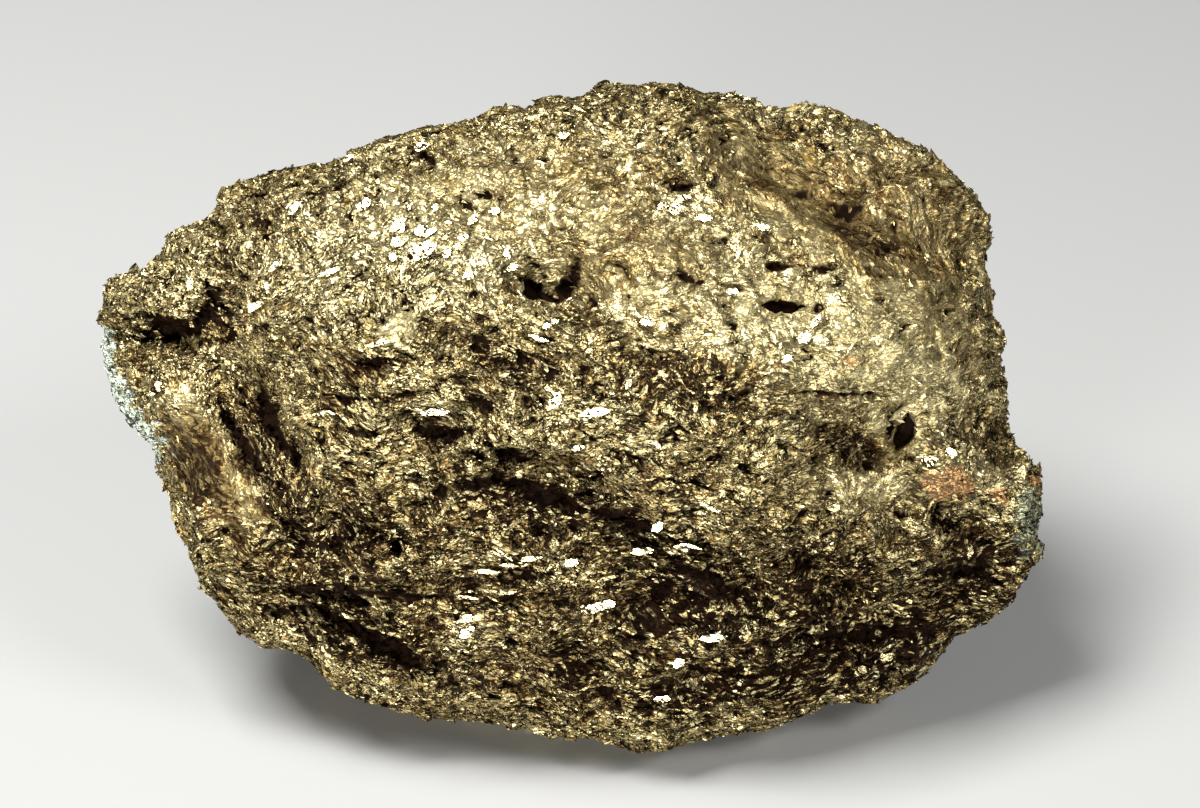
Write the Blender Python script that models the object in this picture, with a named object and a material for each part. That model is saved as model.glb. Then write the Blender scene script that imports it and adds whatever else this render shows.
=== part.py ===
"""A hand-sized lump of massive chalcopyrite, broken from ore and lying on a flat break.

The lump is one solid. Its broad face leans back, so most sizes are given on the face plane:
"across" runs to the right, "up" runs up the face and "out" stands square to it. The rim is
the lump's outline on that plane. Two sets of rough break faces close the front and the back,
and lips, hollows, knobs and the layers of the ore are worked into them.
"""

import math
from typing import NamedTuple

import bmesh
import bpy
import numpy as np
from mathutils import Matrix, Vector, noise

# Driving dimensions, in millimetres and degrees.
LEAN = 30.0  # how far the broad face leans back from upright
REST_DEPTH = 30.6  # from the middle of the face down to the flat break that the lump lies on
FINE_DIVISIONS = 7  # divisions of the sphere that is worked into the lump
KEPT_TRIANGLES = 9300  # what is left of them once the flatter stretches are thinned out

RIM_ROUNDING = 0.74  # under 1 gives fuller shoulders than an ellipse has
RIM_DETAIL_FROM = 0.72  # the small steps of the rim fade out this far in from it
RIM_DETAIL_RISE = 0.45  # and this far in front of it and behind it
RIM_SMOOTHING = 14.0  # degrees of the rim that are averaged where its steps have faded out
RIM_FADE = (0.10, 0.42)  # the rise over which knobs, hollows and lips fade out at the rim
MARK_STEEPNESS = 0.75  # 0.5 gives knobs and hollows rounded sides, 1 gives them steep ones
RIM_ORE = 0.3  # the share of the ore's blocks and grains that is left on the rim itself
FACE_BLEND = 1.6  # width of the worn edge where two break faces meet

ORE_COLOUR = (0.42, 0.36, 0.17)
ORE_ROUGHNESS = 0.38

# The outline of the broad face, (across, up), clockwise from the left tip.
RIM = (
    (-50.0, 9.6), (-49.3, 13.2), (-48.3, 14.7), (-46.2, 15.4), (-44.1, 16.9),
    (-42.7, 18.8), (-41.3, 20.2), (-39.0, 20.9), (-38.1, 22.4), (-37.5, 24.0),
    (-35.5, 24.7), (-32.4, 25.5), (-28.8, 25.7), (-26.0, 27.0), (-22.8, 28.1),
    (-19.6, 29.6), (-14.2, 30.4), (-11.0, 31.5), (-7.8, 32.4), (-4.6, 32.5),
    (-3.3, 33.7), (0.2, 33.8), (2.4, 34.2), (3.2, 35.1), (5.0, 35.4),
    (6.7, 34.9), (10.4, 35.5), (12.0, 35.1), (13.6, 34.3), (17.3, 33.7),
    (20.5, 32.4), (23.2, 32.9), (24.9, 33.4), (28.0, 32.8), (30.7, 31.6),
    (32.8, 30.8), (34.4, 29.6), (37.6, 28.5), (39.7, 27.3), (41.1, 25.3),
    (43.0, 23.5), (44.1, 21.8), (44.6, 19.2), (43.6, 16.2), (42.8, 14.8),
    (43.7, 13.8), (43.1, 10.2), (44.1, 9.3), (45.2, 8.0), (44.5, 6.2),
    (45.4, 3.2), (46.0, 0.5), (46.4, -2.7), (48.0, -4.4), (49.9, -6.4),
    (50.0, -9.2), (49.6, -13.4), (48.8, -16.6), (47.5, -18.8), (45.3, -21.7),
    (41.3, -23.5), (39.2, -25.7), (36.5, -28.3), (32.8, -30.2), (28.5, -30.5),
    (24.8, -31.8), (20.5, -33.8), (17.3, -33.6), (13.6, -34.5), (10.4, -35.5),
    (7.2, -35.4), (4.2, -34.7), (2.7, -34.0), (-0.3, -34.4), (-3.5, -34.0),
    (-5.7, -32.9), (-9.9, -32.7), (-14.2, -32.0), (-18.5, -30.7), (-21.7, -30.0),
    (-24.5, -28.2), (-28.1, -25.7), (-30.2, -24.8), (-33.2, -25.0), (-34.8, -23.8),
    (-36.9, -22.0), (-38.2, -19.8), (-40.0, -17.7), (-40.9, -13.4), (-42.0, -10.7),
    (-43.6, -7.5), (-45.2, -2.7), (-46.5, -0.3), (-48.2, 1.7), (-49.7, 5.9),
)


class BreakFace(NamedTuple):
    """One rough plane of the lump: its depth from the face plane, and how that changes."""

    name: str
    depth: float  # at the middle of the face plane
    per_across: float
    per_up: float


class Mark(NamedTuple):
    """A knob, which rises from the lump, or a hollow, whose rise is negative."""

    name: str
    at: tuple
    half: tuple  # half its length and half its width
    turn: float  # degrees that its length is turned from level
    rise: float


class Lip(NamedTuple):
    """A broken edge that stands over a recess, which comes back out further down."""

    name: str
    at: tuple
    half: float  # half its length
    turn: float
    drop: float  # how far the recess is set in just under the edge
    run: float  # the distance in which it comes back out
    bow: float = 0.0  # how far the middle stands above the ends


FRONT_FACES = (
    BreakFace("upper face", 29.5, 0.02, -0.52),
    BreakFace("lower face", 25.8, 0.08, 0.30),
    BreakFace("left cheek", 44.5, 0.78, -0.05),
    BreakFace("upper left", 39.0, 0.30, -0.60),
    BreakFace("lower right", 35.5, -0.42, 0.36),
    BreakFace("right end", 52.0, -0.82, 0.00),
)
BACK_FACES = (
    BreakFace("broad back", 31.0, 0.06, -0.08),
    BreakFace("upper back", 34.0, -0.12, -0.46),
    BreakFace("left back", 49.0, 0.80, 0.12),
    BreakFace("right back", 47.0, -0.62, -0.18),
    BreakFace("upper left back", 43.0, 0.36, -0.60),
    BreakFace("lower right back", 44.0, -0.50, 0.30),
)

FRONT_MARKS = (
    Mark("left knob", (-45.2, 12.8), (4.6, 2.4), 8.0, 1.9),
    Mark("left lobe", (-43.4, 2.6), (3.4, 5.0), 0.0, 1.8),
    Mark("trench under the left knob", (-43.6, 8.6), (4.4, 1.5), -12.0, -3.4),
    Mark("hollow beside the left knob", (-38.0, 11.4), (3.4, 2.3), -62.0, -4.0),
    Mark("dip in the upper left shoulder", (-35.6, 21.0), (3.6, 1.6), 22.0, -1.8),
    Mark("upper left swell", (-26.0, 9.8), (9.5, 4.0), 4.0, 1.2),
    Mark("cheek flat", (-37.4, -7.0), (3.2, 8.6), 16.0, 1.2),
    Mark("groove behind the cheek", (-31.6, -4.2), (11.0, 2.7), -66.0, -4.2),
    Mark("pit under the groove", (-24.5, -11.8), (2.2, 1.7), 20.0, -2.8),
    Mark("foot of the groove", (-30.2, -13.6), (3.4, 1.8), 20.0, -1.8),
    Mark("pit in the upper face", (-1.3, 13.6), (4.6, 2.6), -32.0, -4.4),
    Mark("hollow in the brow", (-7.3, 6.6), (7.0, 2.2), -12.0, -2.8),
    Mark("small hollow in the upper face", (-9.6, 23.2), (3.0, 1.4), -8.0, -1.5),
    Mark("swell right of the pit", (10.5, 13.0), (8.0, 4.5), -22.0, 1.1),
    Mark("crest, left bump", (-1.4, 31.6), (2.6, 2.0), 0.0, 1.2),
    Mark("crest, middle bump", (4.8, 32.4), (2.8, 2.2), 0.0, 1.4),
    Mark("crest, right bump", (11.0, 32.6), (2.8, 2.0), 0.0, 1.3),
    Mark("hollow in the right brow", (8.8, -6.3), (3.8, 2.0), 10.0, -1.8),
    Mark("pit by the right end", (35.9, -2.2), (1.6, 2.8), 0.0, -2.6),
    Mark("hollow by the right end", (30.6, -4.4), (3.4, 1.8), 12.0, -2.2),
    Mark("pale swell by the right end", (40.2, -5.4), (3.0, 2.8), 0.0, 1.2),
    Mark("dark pit by the right end", (39.9, -11.0), (2.7, 2.3), 0.0, -2.8),
    Mark("right swell", (32.5, -13.2), (5.0, 3.0), -12.0, 1.5),
    Mark("right knob", (46.6, -9.0), (3.0, 5.0), 0.0, 1.7),
    Mark("shelf at the lower left", (-22.0, -26.8), (7.8, 2.4), -26.0, 1.9),
    Mark("upright groove at the foot", (1.8, -26.6), (4.0, 1.6), -68.0, -2.2),
    Mark("pale knob at the foot", (16.6, -23.2), (5.8, 2.0), 4.0, 2.1),
    Mark("hollow under the pale knob", (14.0, -28.0), (3.9, 2.0), 12.0, -2.6),
    Mark("hollow over the pale knob", (10.4, -20.4), (4.8, 1.5), 6.0, -2.2),
    Mark("foot swell", (7.2, -31.8), (5.2, 2.0), 0.0, 1.2),
    Mark("splinter at the foot", (20.4, -31.6), (3.2, 1.3), -8.0, 1.2),
)
FRONT_LIPS = (
    Lip("left end of the brow", (-26.5, 5.6), 9.5, 4.0, 0.9, 5.0, 0.8),
    Lip("short lip in the middle left", (-15.2, -0.5), 3.8, -4.0, 3.0, 2.8, 0.9),
    Lip("small lip over the great lip", (-6.2, -4.0), 4.2, 0.0, 1.8, 2.2, 0.6),
    Lip("great lip", (-1.0, -7.0), 11.0, -16.0, 4.4, 5.5, 1.8),
    Lip("lip under the pit", (-20.4, -13.6), 5.0, 6.0, 1.3, 2.6, 0.6),
    Lip("lower left lip", (-14.0, -17.2), 5.4, -8.0, 1.5, 2.6, 1.0),
    Lip("middle foot lip", (-2.6, -19.2), 6.4, 5.0, 1.8, 2.8, 0.9),
    Lip("second great lip", (13.6, -15.0), 9.0, -14.0, 4.2, 5.0, 1.6),
    Lip("lip over the shelf", (-22.4, -21.2), 9.4, -23.0, 4.6, 3.6, 1.5),
    Lip("step right of the second lip", (26.2, -15.2), 5.8, -24.0, 2.4, 3.6, 0.5),
    Lip("lip at the lower right", (33.0, -20.6), 10.4, 9.0, 3.4, 5.0, 0.8),
    Lip("lip over the right foot", (42.2, -16.8), 3.8, 16.0, 2.0, 3.0, 0.6),
    Lip("low lip at the lower right", (26.0, -26.2), 8.0, 10.0, 2.4, 3.0, 0.4),
    Lip("thin lip in the upper right", (22.4, 12.4), 3.6, 0.0, 2.0, 1.9, 0.3),
    Lip("lip across the upper right", (30.5, 1.2), 7.0, -8.0, 1.2, 2.8, 0.5),
    Lip("lip at the top of the lower face", (-8.6, 0.8), 4.6, 10.0, 1.3, 2.4, 0.5),
)
BACK_MARKS = (
    Mark("back knob", (14.0, 12.0), (7.0, 5.0), 30.0, 2.6),
    Mark("back swell", (-18.0, -2.0), (10.0, 6.0), -14.0, 2.0),
    Mark("back hollow", (-4.0, 12.0), (8.0, 4.0), 24.0, -3.0),
    Mark("back pit", (26.0, -4.0), (4.0, 3.0), 0.0, -2.6),
    Mark("small back pit", (-30.0, 10.0), (3.2, 2.2), 40.0, -2.2),
    Mark("back groove", (4.0, -8.0), (12.0, 2.0), -56.0, -2.2),
    Mark("right back knob", (36.0, 8.0), (4.0, 5.0), 10.0, 1.8),
)
BACK_LIPS = (
    Lip("upper back lip", (4.0, 21.0), 13.0, 8.0, 2.4, 4.5, 2.0),
    Lip("left back lip", (-24.0, 15.0), 9.0, -14.0, 2.2, 4.0, 1.0),
    Lip("long back lip", (-8.0, 3.0), 14.0, -6.0, 2.8, 5.0, 2.0),
    Lip("right back lip", (25.0, 4.0), 10.0, 14.0, 2.4, 4.0, 1.2),
    Lip("low back lip", (-14.0, -9.0), 11.0, 5.0, 2.2, 4.0, 1.0),
    Lip("low right back lip", (18.0, -12.0), 9.0, -10.0, 2.4, 4.0, 1.0),
    Lip("foot of the back", (2.0, -18.0), 12.0, 3.0, 2.0, 3.6, 0.8),
)

# The valley between the front of the lump and the lobe set back behind its upper right.
VALLEY_FROM = (15.5, 27.5)
VALLEY_TO = (46.0, 12.2)
VALLEY_START = (-6.0, 8.0)  # distances along the valley over which it deepens at its left end
VALLEY_WIDTH = 2.4
LOBE_SET_BACK = 9.0
FURROW_DEPTH = 4.0
FURROW_WIDTH = 2.0

LIP_EDGE = (-0.35, 0.75)  # distances over which a lip's broken edge drops into its recess
LIP_BROW_RISE = 0.35  # the brow over a lip stands out by this share of its drop
LIP_BROW_RUN = 0.6  # and sinks back over this share of its run

# Knobs, hollows and lips are moved about a little along the face, so that none is regular.
SWAY = 1.5
SWAY_LENGTH = 9.0
SHAKE = 0.5
SHAKE_LENGTH = 3.4

# The ore breaks into blocks, whose flat faces each tilt their own way, along nearly level layers.
LAYER_NORMAL = Vector((0.10, -0.22, 0.97)).normalized()
LAYER_WAVE = 3.4  # how far the layers wave up and down
LAYER_WAVELENGTH = 17.0


class Blocks(NamedTuple):
    """One size of block that the ore breaks into."""

    across: float  # its size along the layers
    flatness: float  # how many times wider it is than it is thick
    step: float  # how far one stands out from the next
    tilt: float  # how far its face rises from one side to the other
    crack: float  # how deep the cracks between them are


BLOCKS = (Blocks(10.5, 1.7, 1.3, 1.1, 0.5), Blocks(4.6, 1.9, 0.65, 0.8, 0.25))
CRACK_SHARE = 0.14  # how far into a block its cracks reach
GRAIN_SIZE = 2.4
GRAIN_STEP = 0.30
NOISE_SEED = 7
SEED_SHIFT = Vector((11.3, 4.7, 8.9))  # where in Blender's noise the ore is taken from
HALF = Vector((0.5, 0.5, 0.5))


def ramp(values, low, high):
    """0 below low and 1 above high, with a smooth step between."""
    share = np.clip((values - low) / (high - low), 0.0, 1.0)
    return share * share * (3.0 - 2.0 * share)


def rim_reaches(turns):
    """The rim's distance from the middle in each direction: as broken, and evened out."""
    points = np.array(RIM)
    at = np.arctan2(points[:, 1], points[:, 0])
    reach = np.hypot(points[:, 0], points[:, 1])
    around = np.radians(np.arange(360.0))
    broken = np.interp(around, at, reach, period=2.0 * math.pi)
    offsets = np.arange(-40, 41)
    weights = np.exp(-0.5 * (offsets / RIM_SMOOTHING) ** 2)
    even = sum(w * np.roll(broken, k) for w, k in zip(weights, offsets)) / weights.sum()
    return (
        np.interp(turns, at, reach, period=2.0 * math.pi),
        np.interp(turns, around, even, period=2.0 * math.pi),
    )


def least_depth(faces, across, up):
    """The depth where the nearest of the break faces lies, with worn edges between them."""
    depths = [f.depth + f.per_across * across + f.per_up * up for f in faces]
    total = sum(np.exp(-depth / FACE_BLEND) for depth in depths)
    return -FACE_BLEND * np.log(total)


def along_and_over(across, up, at, turn):
    """Distances from a mark's middle, along its length and square to it."""
    c, s = math.cos(math.radians(turn)), math.sin(math.radians(turn))
    x, y = across - at[0], up - at[1]
    return x * c + y * s, y * c - x * s


def mark_rise(mark, across, up):
    along, over = along_and_over(across, up, mark.at, mark.turn)
    reach = (along / mark.half[0]) ** 4 + (over / mark.half[1]) ** 4
    return mark.rise * np.exp(-(reach**MARK_STEEPNESS))


def lip_rise(lip, across, up):
    along, over = along_and_over(across, up, lip.at, lip.turn)
    share = along / lip.half
    over = over - lip.bow * (1.0 - share**2)
    window = np.exp(-(share**4))
    under = ramp(-over, *LIP_EDGE)
    recess = -lip.drop * under * np.exp(np.minimum(over + LIP_EDGE[1], 0.0) / lip.run)
    sinking = np.exp(-np.maximum(over, 0.0) / (LIP_BROW_RUN * lip.run))
    brow = LIP_BROW_RISE * lip.drop * (1.0 - under) * sinking
    return window * (recess + brow)


def valley_rise(across, up):
    """How far the upper right lobe is set back, and the furrow before it."""
    x, y = VALLEY_TO[0] - VALLEY_FROM[0], VALLEY_TO[1] - VALLEY_FROM[1]
    length = math.hypot(x, y)
    along = ((across - VALLEY_FROM[0]) * x + (up - VALLEY_FROM[1]) * y) / length
    beyond = ((up - VALLEY_FROM[1]) * x - (across - VALLEY_FROM[0]) * y) / length
    started = ramp(along, *VALLEY_START)
    step = ramp(beyond, -VALLEY_WIDTH, VALLEY_WIDTH)
    furrow = FURROW_DEPTH * np.exp(-((beyond / FURROW_WIDTH) ** 2))
    return -started * (LOBE_SET_BACK * step + furrow)


def wobbled(across, up):
    """The face-plane places moved a little, so that no lip or groove runs dead straight."""
    moved = []
    for a, b in zip(across, up):
        place = Vector((a, b, 0.0))
        sway = SWAY * noise.noise_vector(place / SWAY_LENGTH + SEED_SHIFT)
        shake = SHAKE * noise.noise_vector(place / SHAKE_LENGTH - SEED_SHIFT)
        moved.append((a + sway.x + shake.x, b + sway.y + shake.y))
    moved = np.array(moved)
    return moved[:, 0], moved[:, 1]


def rough_lump(directions):
    """(across, up, out) and rise of the bare lump's surface in each direction from its middle.

    Rise runs from 1 at the middle of the front, through 0 on the rim, to -1 at the back.
    """
    level = np.hypot(directions[:, 0], directions[:, 1])
    turns = np.arctan2(directions[:, 1], directions[:, 0])
    share = level**RIM_ROUNDING
    rise = np.sign(directions[:, 2]) * np.abs(directions[:, 2]) ** RIM_ROUNDING
    broken, even = rim_reaches(turns)
    near = ramp(share, RIM_DETAIL_FROM, 1.0) * np.exp(-((rise / RIM_DETAIL_RISE) ** 2))
    reach = even + (broken - even) * near
    across, up = reach * share * np.cos(turns), reach * share * np.sin(turns)
    front = least_depth(FRONT_FACES, across, up) + valley_rise(across, up)
    back = least_depth(BACK_FACES, across, up)
    out = np.where(rise > 0.0, front, back) * rise
    return np.column_stack((across, up, out)), rise


def worked_rise(places, rise):
    """How far the knobs, hollows and lips stand out at each place, in millimetres."""
    across, up = wobbled(places[:, 0], places[:, 1])
    sides = []
    for marks, lips in ((FRONT_MARKS, FRONT_LIPS), (BACK_MARKS, BACK_LIPS)):
        marked = sum(mark_rise(mark, across, up) for mark in marks)
        sides.append(marked + sum(lip_rise(lip, across, up) for lip in lips))
    return np.where(rise > 0.0, *sides) * ramp(np.abs(rise), *RIM_FADE)


def flattened(place, flatness):
    """The place in a space where blocks that are thin across the layers are as high as wide."""
    return place + (flatness - 1.0) * place.dot(LAYER_NORMAL) * LAYER_NORMAL


def ore_rise(place):
    """How far the ore's blocks and grains stand out at a place, in millimetres."""
    wave = LAYER_WAVE * noise.noise_vector(place / LAYER_WAVELENGTH + SEED_SHIFT)
    waved = place + wave
    rise = 0.0
    for blocks in BLOCKS:
        spot = flattened(waved, blocks.flatness) / blocks.across + SEED_SHIFT
        near, middles = noise.voronoi(spot)
        own = noise.cell_vector(middles[0] * 19.0)
        tilted = blocks.tilt * (spot - middles[0]).dot(own - HALF)
        gap = min((near[1] - near[0]) / CRACK_SHARE, 1.0)
        rise += (blocks.step * (own.x - 0.5) + tilted) * gap - blocks.crack * (1.0 - gap)
    grain = noise.fractal(flattened(waved, 1.8) / GRAIN_SIZE, 0.8, 2.1, 3)
    return rise + GRAIN_STEP * grain


def leaned_back(points):
    """Face-plane points as they lie with the broad face leaning back."""
    lean = math.radians(LEAN)
    across, up, out = points.T
    return np.column_stack(
        (
            across,
            up * math.sin(lean) - out * math.cos(lean),
            up * math.cos(lean) + out * math.sin(lean),
        )
    )


def finely_worked_mesh():
    """The whole lump in fine triangles, in millimetres, before its foot is broken off."""
    bm = bmesh.new()
    bmesh.ops.create_icosphere(bm, subdivisions=FINE_DIVISIONS, radius=1.0)
    directions = np.array([v.co for v in bm.verts])
    places, rise = rough_lump(directions)
    for vert, place in zip(bm.verts, leaned_back(places)):
        vert.co = place
    bm.normal_update()
    ore_shares = RIM_ORE + (1.0 - RIM_ORE) * ramp(np.abs(rise), *RIM_FADE)
    worked = worked_rise(places, rise)
    moved = []
    for vert, made, share in zip(bm.verts, worked, ore_shares):
        moved.append(vert.co + vert.normal * (made + share * ore_rise(vert.co)))
    for vert, place in zip(bm.verts, moved):
        vert.co = place
    mesh = bpy.data.meshes.new("chalcopyrite_fine")
    bm.to_mesh(mesh)
    bm.free()
    return mesh


def thinned(mesh):
    """The mesh with triangles taken out where the surface is flattest."""
    helper = bpy.data.objects.new("fine_lump", mesh)
    bpy.context.scene.collection.objects.link(helper)
    decimate = helper.modifiers.new("fewer_triangles", "DECIMATE")
    decimate.ratio = KEPT_TRIANGLES / len(mesh.polygons)
    decimate.use_collapse_triangulate = True
    bpy.context.view_layer.update()
    graph = bpy.context.evaluated_depsgraph_get()
    kept = bpy.data.meshes.new_from_object(helper.evaluated_get(graph))
    bpy.data.objects.remove(helper)
    return kept


def broken_flat(mesh):
    """Breaks the foot off level, and puts the origin under the middle of the lump."""
    bm = bmesh.new()
    bm.from_mesh(mesh)
    cut = bmesh.ops.bisect_plane(
        bm,
        geom=bm.verts[:] + bm.edges[:] + bm.faces[:],
        plane_co=(0.0, 0.0, -REST_DEPTH),
        plane_no=(0.0, 0.0, -1.0),
        clear_outer=True,
    )
    edges = [e for e in cut["geom_cut"] if isinstance(e, bmesh.types.BMEdge)]
    bmesh.ops.triangle_fill(bm, edges=edges, use_beauty=True, normal=(0.0, 0.0, -1.0))
    bmesh.ops.recalc_face_normals(bm, faces=bm.faces[:])
    corners = np.array([v.co for v in bm.verts])
    middle = (corners.min(axis=0) + corners.max(axis=0)) / 2.0
    to_origin = Matrix.Translation((-middle[0], -middle[1], REST_DEPTH))
    bm.transform(Matrix.Scale(0.001, 4) @ to_origin)
    bm.to_mesh(mesh)
    bm.free()
    mesh.update()


def ore_material():
    material = bpy.data.materials.new("chalcopyrite")
    material.use_nodes = True
    shader = material.node_tree.nodes["Principled BSDF"]
    shader.inputs["Base Color"].default_value = (*ORE_COLOUR, 1.0)
    shader.inputs["Metallic"].default_value = 1.0
    shader.inputs["Roughness"].default_value = ORE_ROUGHNESS
    return material


def main():
    for obj in list(bpy.data.objects):
        bpy.data.objects.remove(obj)
    noise.seed_set(NOISE_SEED)
    mesh = thinned(finely_worked_mesh())
    broken_flat(mesh)
    mesh.name = "chalcopyrite"
    mesh.materials.append(ore_material())
    lump = bpy.data.objects.new("chalcopyrite", mesh)
    bpy.context.scene.collection.objects.link(lump)


main()
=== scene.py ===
"""The looks of a hand-sized lump of massive chalcopyrite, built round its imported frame.

The lump's fine break is worked into a copy of the frame's solid, bright cleaved grains are set
into it, and one ore material colours it. It lies on a plain pale floor under soft studio light.
"""

import math
from typing import NamedTuple

import bmesh
import bpy
import numpy as np
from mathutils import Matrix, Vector


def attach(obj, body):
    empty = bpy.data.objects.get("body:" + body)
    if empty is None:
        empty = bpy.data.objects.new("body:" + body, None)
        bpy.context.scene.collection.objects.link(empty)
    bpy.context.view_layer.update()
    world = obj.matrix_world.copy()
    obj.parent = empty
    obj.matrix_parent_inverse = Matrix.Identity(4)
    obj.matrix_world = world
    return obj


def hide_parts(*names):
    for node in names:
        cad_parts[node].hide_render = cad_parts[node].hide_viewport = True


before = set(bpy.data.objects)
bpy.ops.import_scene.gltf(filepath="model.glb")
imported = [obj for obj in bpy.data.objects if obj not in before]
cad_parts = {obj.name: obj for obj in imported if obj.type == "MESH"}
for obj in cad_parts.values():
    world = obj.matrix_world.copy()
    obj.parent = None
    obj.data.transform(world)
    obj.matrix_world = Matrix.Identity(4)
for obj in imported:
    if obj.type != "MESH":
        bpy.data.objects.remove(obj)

bl_info = {
    "name": "Chalcopyrite Specimen",
    "version": (1, 0, 0),
    "blender": (4, 5, 0),
    "location": "3D View > Sidebar > Chalcopyrite",
    "description": "Finishes a lump of massive chalcopyrite on its frame and lights it",
    "category": "Add Mesh",
}

NODE = "chalcopyrite"
BODY = "root"
LUMP = "broken_lump"
ORE = "massive_chalcopyrite_broken"
MM = 0.001

# The broad face leans back. Places on it are given in millimetres: across to the right, up the
# face, and out square to it, from its middle.
LEAN = math.radians(30.0)
FACE_MIDDLE = Vector((0.0001, -0.0026, 0.0306))
ACROSS = Vector((1.0, 0.0, 0.0))
UP = Vector((0.0, math.sin(LEAN), math.cos(LEAN)))
OUT = Vector((0.0, -math.cos(LEAN), math.sin(LEAN)))
ARM = 427.0  # how far off the face is seen from, in mm
SEEN_FROM = (2.88, 1.18)  # across and up from the face's middle, in mm

# The ore's layers lie nearly level, and the freshest faces turn up to the left, to the key light.
LAYER_NORMAL = Vector((0.10, -0.22, 0.97)).normalized()
CLEAVAGE = Vector((-0.24, -0.58, 0.78)).normalized()

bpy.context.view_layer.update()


def linear(colour):
    """An sRGB hex value, such as "#B5AE89", as linear red, green and blue."""
    shares = [int(colour[i : i + 2], 16) / 255.0 for i in (1, 3, 5)]
    return tuple(s / 12.92 if s <= 0.04045 else ((s + 0.055) / 1.055) ** 2.4 for s in shares)


def add_node(tree, kind, inputs=(), output=0, **settings):
    """Adds a node with its settings and its input values or links, and returns one output.

    inputs is a list in the node's own order, or a dict by socket name or number.
    """
    made = tree.nodes.new(kind)
    for name, value in settings.items():
        setattr(made, name, value)
    pairs = inputs.items() if isinstance(inputs, dict) else enumerate(inputs)
    for name, value in pairs:
        if isinstance(value, bpy.types.NodeSocket):
            tree.links.new(value, made.inputs[name])
        elif value is not None:
            made.inputs[name].default_value = value
    return made.outputs[output] if len(made.outputs) else made


def placed(context, name, data):
    """An object of this name with this data, in the scene."""
    piece = bpy.data.objects.new(name, data)
    context.scene.collection.objects.link(piece)
    return piece


# ---------------------------------------------------------------------------
# Patterns that the relief and the material share. Each takes and returns sockets.
# ---------------------------------------------------------------------------

HALVES = (0.5, 0.5, 0.5)  # the middle of a random colour's range
NOISE_REACH = 0.25  # how far a noise usually strays from its middle, to either side
SMOOTH = {"interpolation_type": "SMOOTHSTEP"}

# How a place is moved about before a pattern is laid there: the waves' length and reach, in mm.
LAYER_WAVES = (9.0, 1.4)
BLOCK_WAVES = (1.6, 0.16)
CURL_WAVES = (1.9, 0.20)
SCALE_WAVES = (1.1, 0.10)
# How many times as wide as high, across the layers, the blocks and flakes are, and the curls
# still more.
FLATNESS = 2.3
CURL_FLATNESS = 1.3


def flattened(tree, place, flatness, bend=0.0):
    """The place in a space where blocks that are thin across the layers are as high as wide.

    bend is how far the layers have risen there.
    """
    over = add_node(tree, "ShaderNodeVectorMath", (place, LAYER_NORMAL), "Value",
                    operation="DOT_PRODUCT")
    risen = add_node(tree, "ShaderNodeMath", (over, bend), operation="ADD")
    more = add_node(tree, "ShaderNodeMath", (risen, flatness - 1.0, bend),
                    operation="MULTIPLY_ADD")
    shift = add_node(tree, "ShaderNodeVectorMath", {0: LAYER_NORMAL, "Scale": more},
                     operation="SCALE")
    return add_node(tree, "ShaderNodeVectorMath", (place, shift), operation="ADD")


def waved(tree, place, length, reach):
    """The place moved about by up to reach, in waves of this length."""
    wave = add_node(tree, "ShaderNodeTexNoise",
                    {"Vector": place, "Scale": 1.0 / length, "Detail": 1.0}, "Color")
    centred = add_node(tree, "ShaderNodeVectorMath", (wave, HALVES), operation="SUBTRACT")
    return add_node(tree, "ShaderNodeVectorMath", (centred, (reach / NOISE_REACH,) * 3, place),
                    operation="MULTIPLY_ADD")


def wandering_lines(tree, place, apart, width, wider=None, **noise):
    """Thin lines that wander, bend and fork this far apart, in mm: 0 outside them to 1 within.

    They lie where a noise is near its middle. width is how near, at their edge and where they
    are full. They are wider where wider is 1.
    """
    wandering = add_node(tree, "ShaderNodeTexNoise",
                         {"Vector": place, "Scale": 1.0 / apart, **noise})
    off = add_node(tree, "ShaderNodeMath", (wandering, 0.5), operation="SUBTRACT")
    away = add_node(tree, "ShaderNodeMath", (off,), operation="ABSOLUTE")
    if wider is not None:
        away = add_node(tree, "ShaderNodeMath", (wider, -DULL_WIDER, away),
                        operation="MULTIPLY_ADD")
    return add_node(tree, "ShaderNodeMapRange", (away, *width), **SMOOTH)


class Blocks(NamedTuple):
    """How one size of blocks stands out, in mm: by steps, by tilts and over cracks.

    crack_width is a share of the block's own width.
    """

    step: float
    tilt: float
    crack: float
    crack_width: float


LEDGES = Blocks(step=0.50, tilt=1.3, crack=0.10, crack_width=0.03)
BLOCKS = Blocks(step=0.22, tilt=0.7, crack=0.10, crack_width=0.05)
CHIPS = Blocks(step=0.10, tilt=0.32, crack=0.06, crack_width=0.10)


def tilted_blocks(tree, place, size, blocks):
    """How far blocks of this size stand out, each with a flat face that tilts its own way."""
    cell = {"Vector": place, "Scale": 1.0 / size, "Randomness": 1.0}
    middle, own = (add_node(tree, "ShaderNodeTexVoronoi", cell, name)
                   for name in ("Position", "Color"))
    edge = add_node(tree, "ShaderNodeTexVoronoi", cell, "Distance", feature="DISTANCE_TO_EDGE")
    lean = add_node(tree, "ShaderNodeVectorMath", (own, HALVES), operation="SUBTRACT")
    from_middle = add_node(tree, "ShaderNodeVectorMath", (place, middle), operation="SUBTRACT")
    slope = add_node(tree, "ShaderNodeVectorMath", (from_middle, lean), "Value",
                     operation="DOT_PRODUCT")
    stand = add_node(tree, "ShaderNodeSeparateXYZ", (lean,), "X")
    stood = add_node(tree, "ShaderNodeMath", (stand, blocks.step), operation="MULTIPLY")
    flat = add_node(tree, "ShaderNodeMath", (slope, blocks.tilt / size, stood),
                    operation="MULTIPLY_ADD")
    whole = add_node(tree, "ShaderNodeMapRange", (edge, 0.0, blocks.crack_width), **SMOOTH)
    return add_node(tree, "ShaderNodeMix", {"Factor": whole, "A": -blocks.crack, "B": flat})


# ---------------------------------------------------------------------------
# The lump's fine break
# ---------------------------------------------------------------------------


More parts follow.
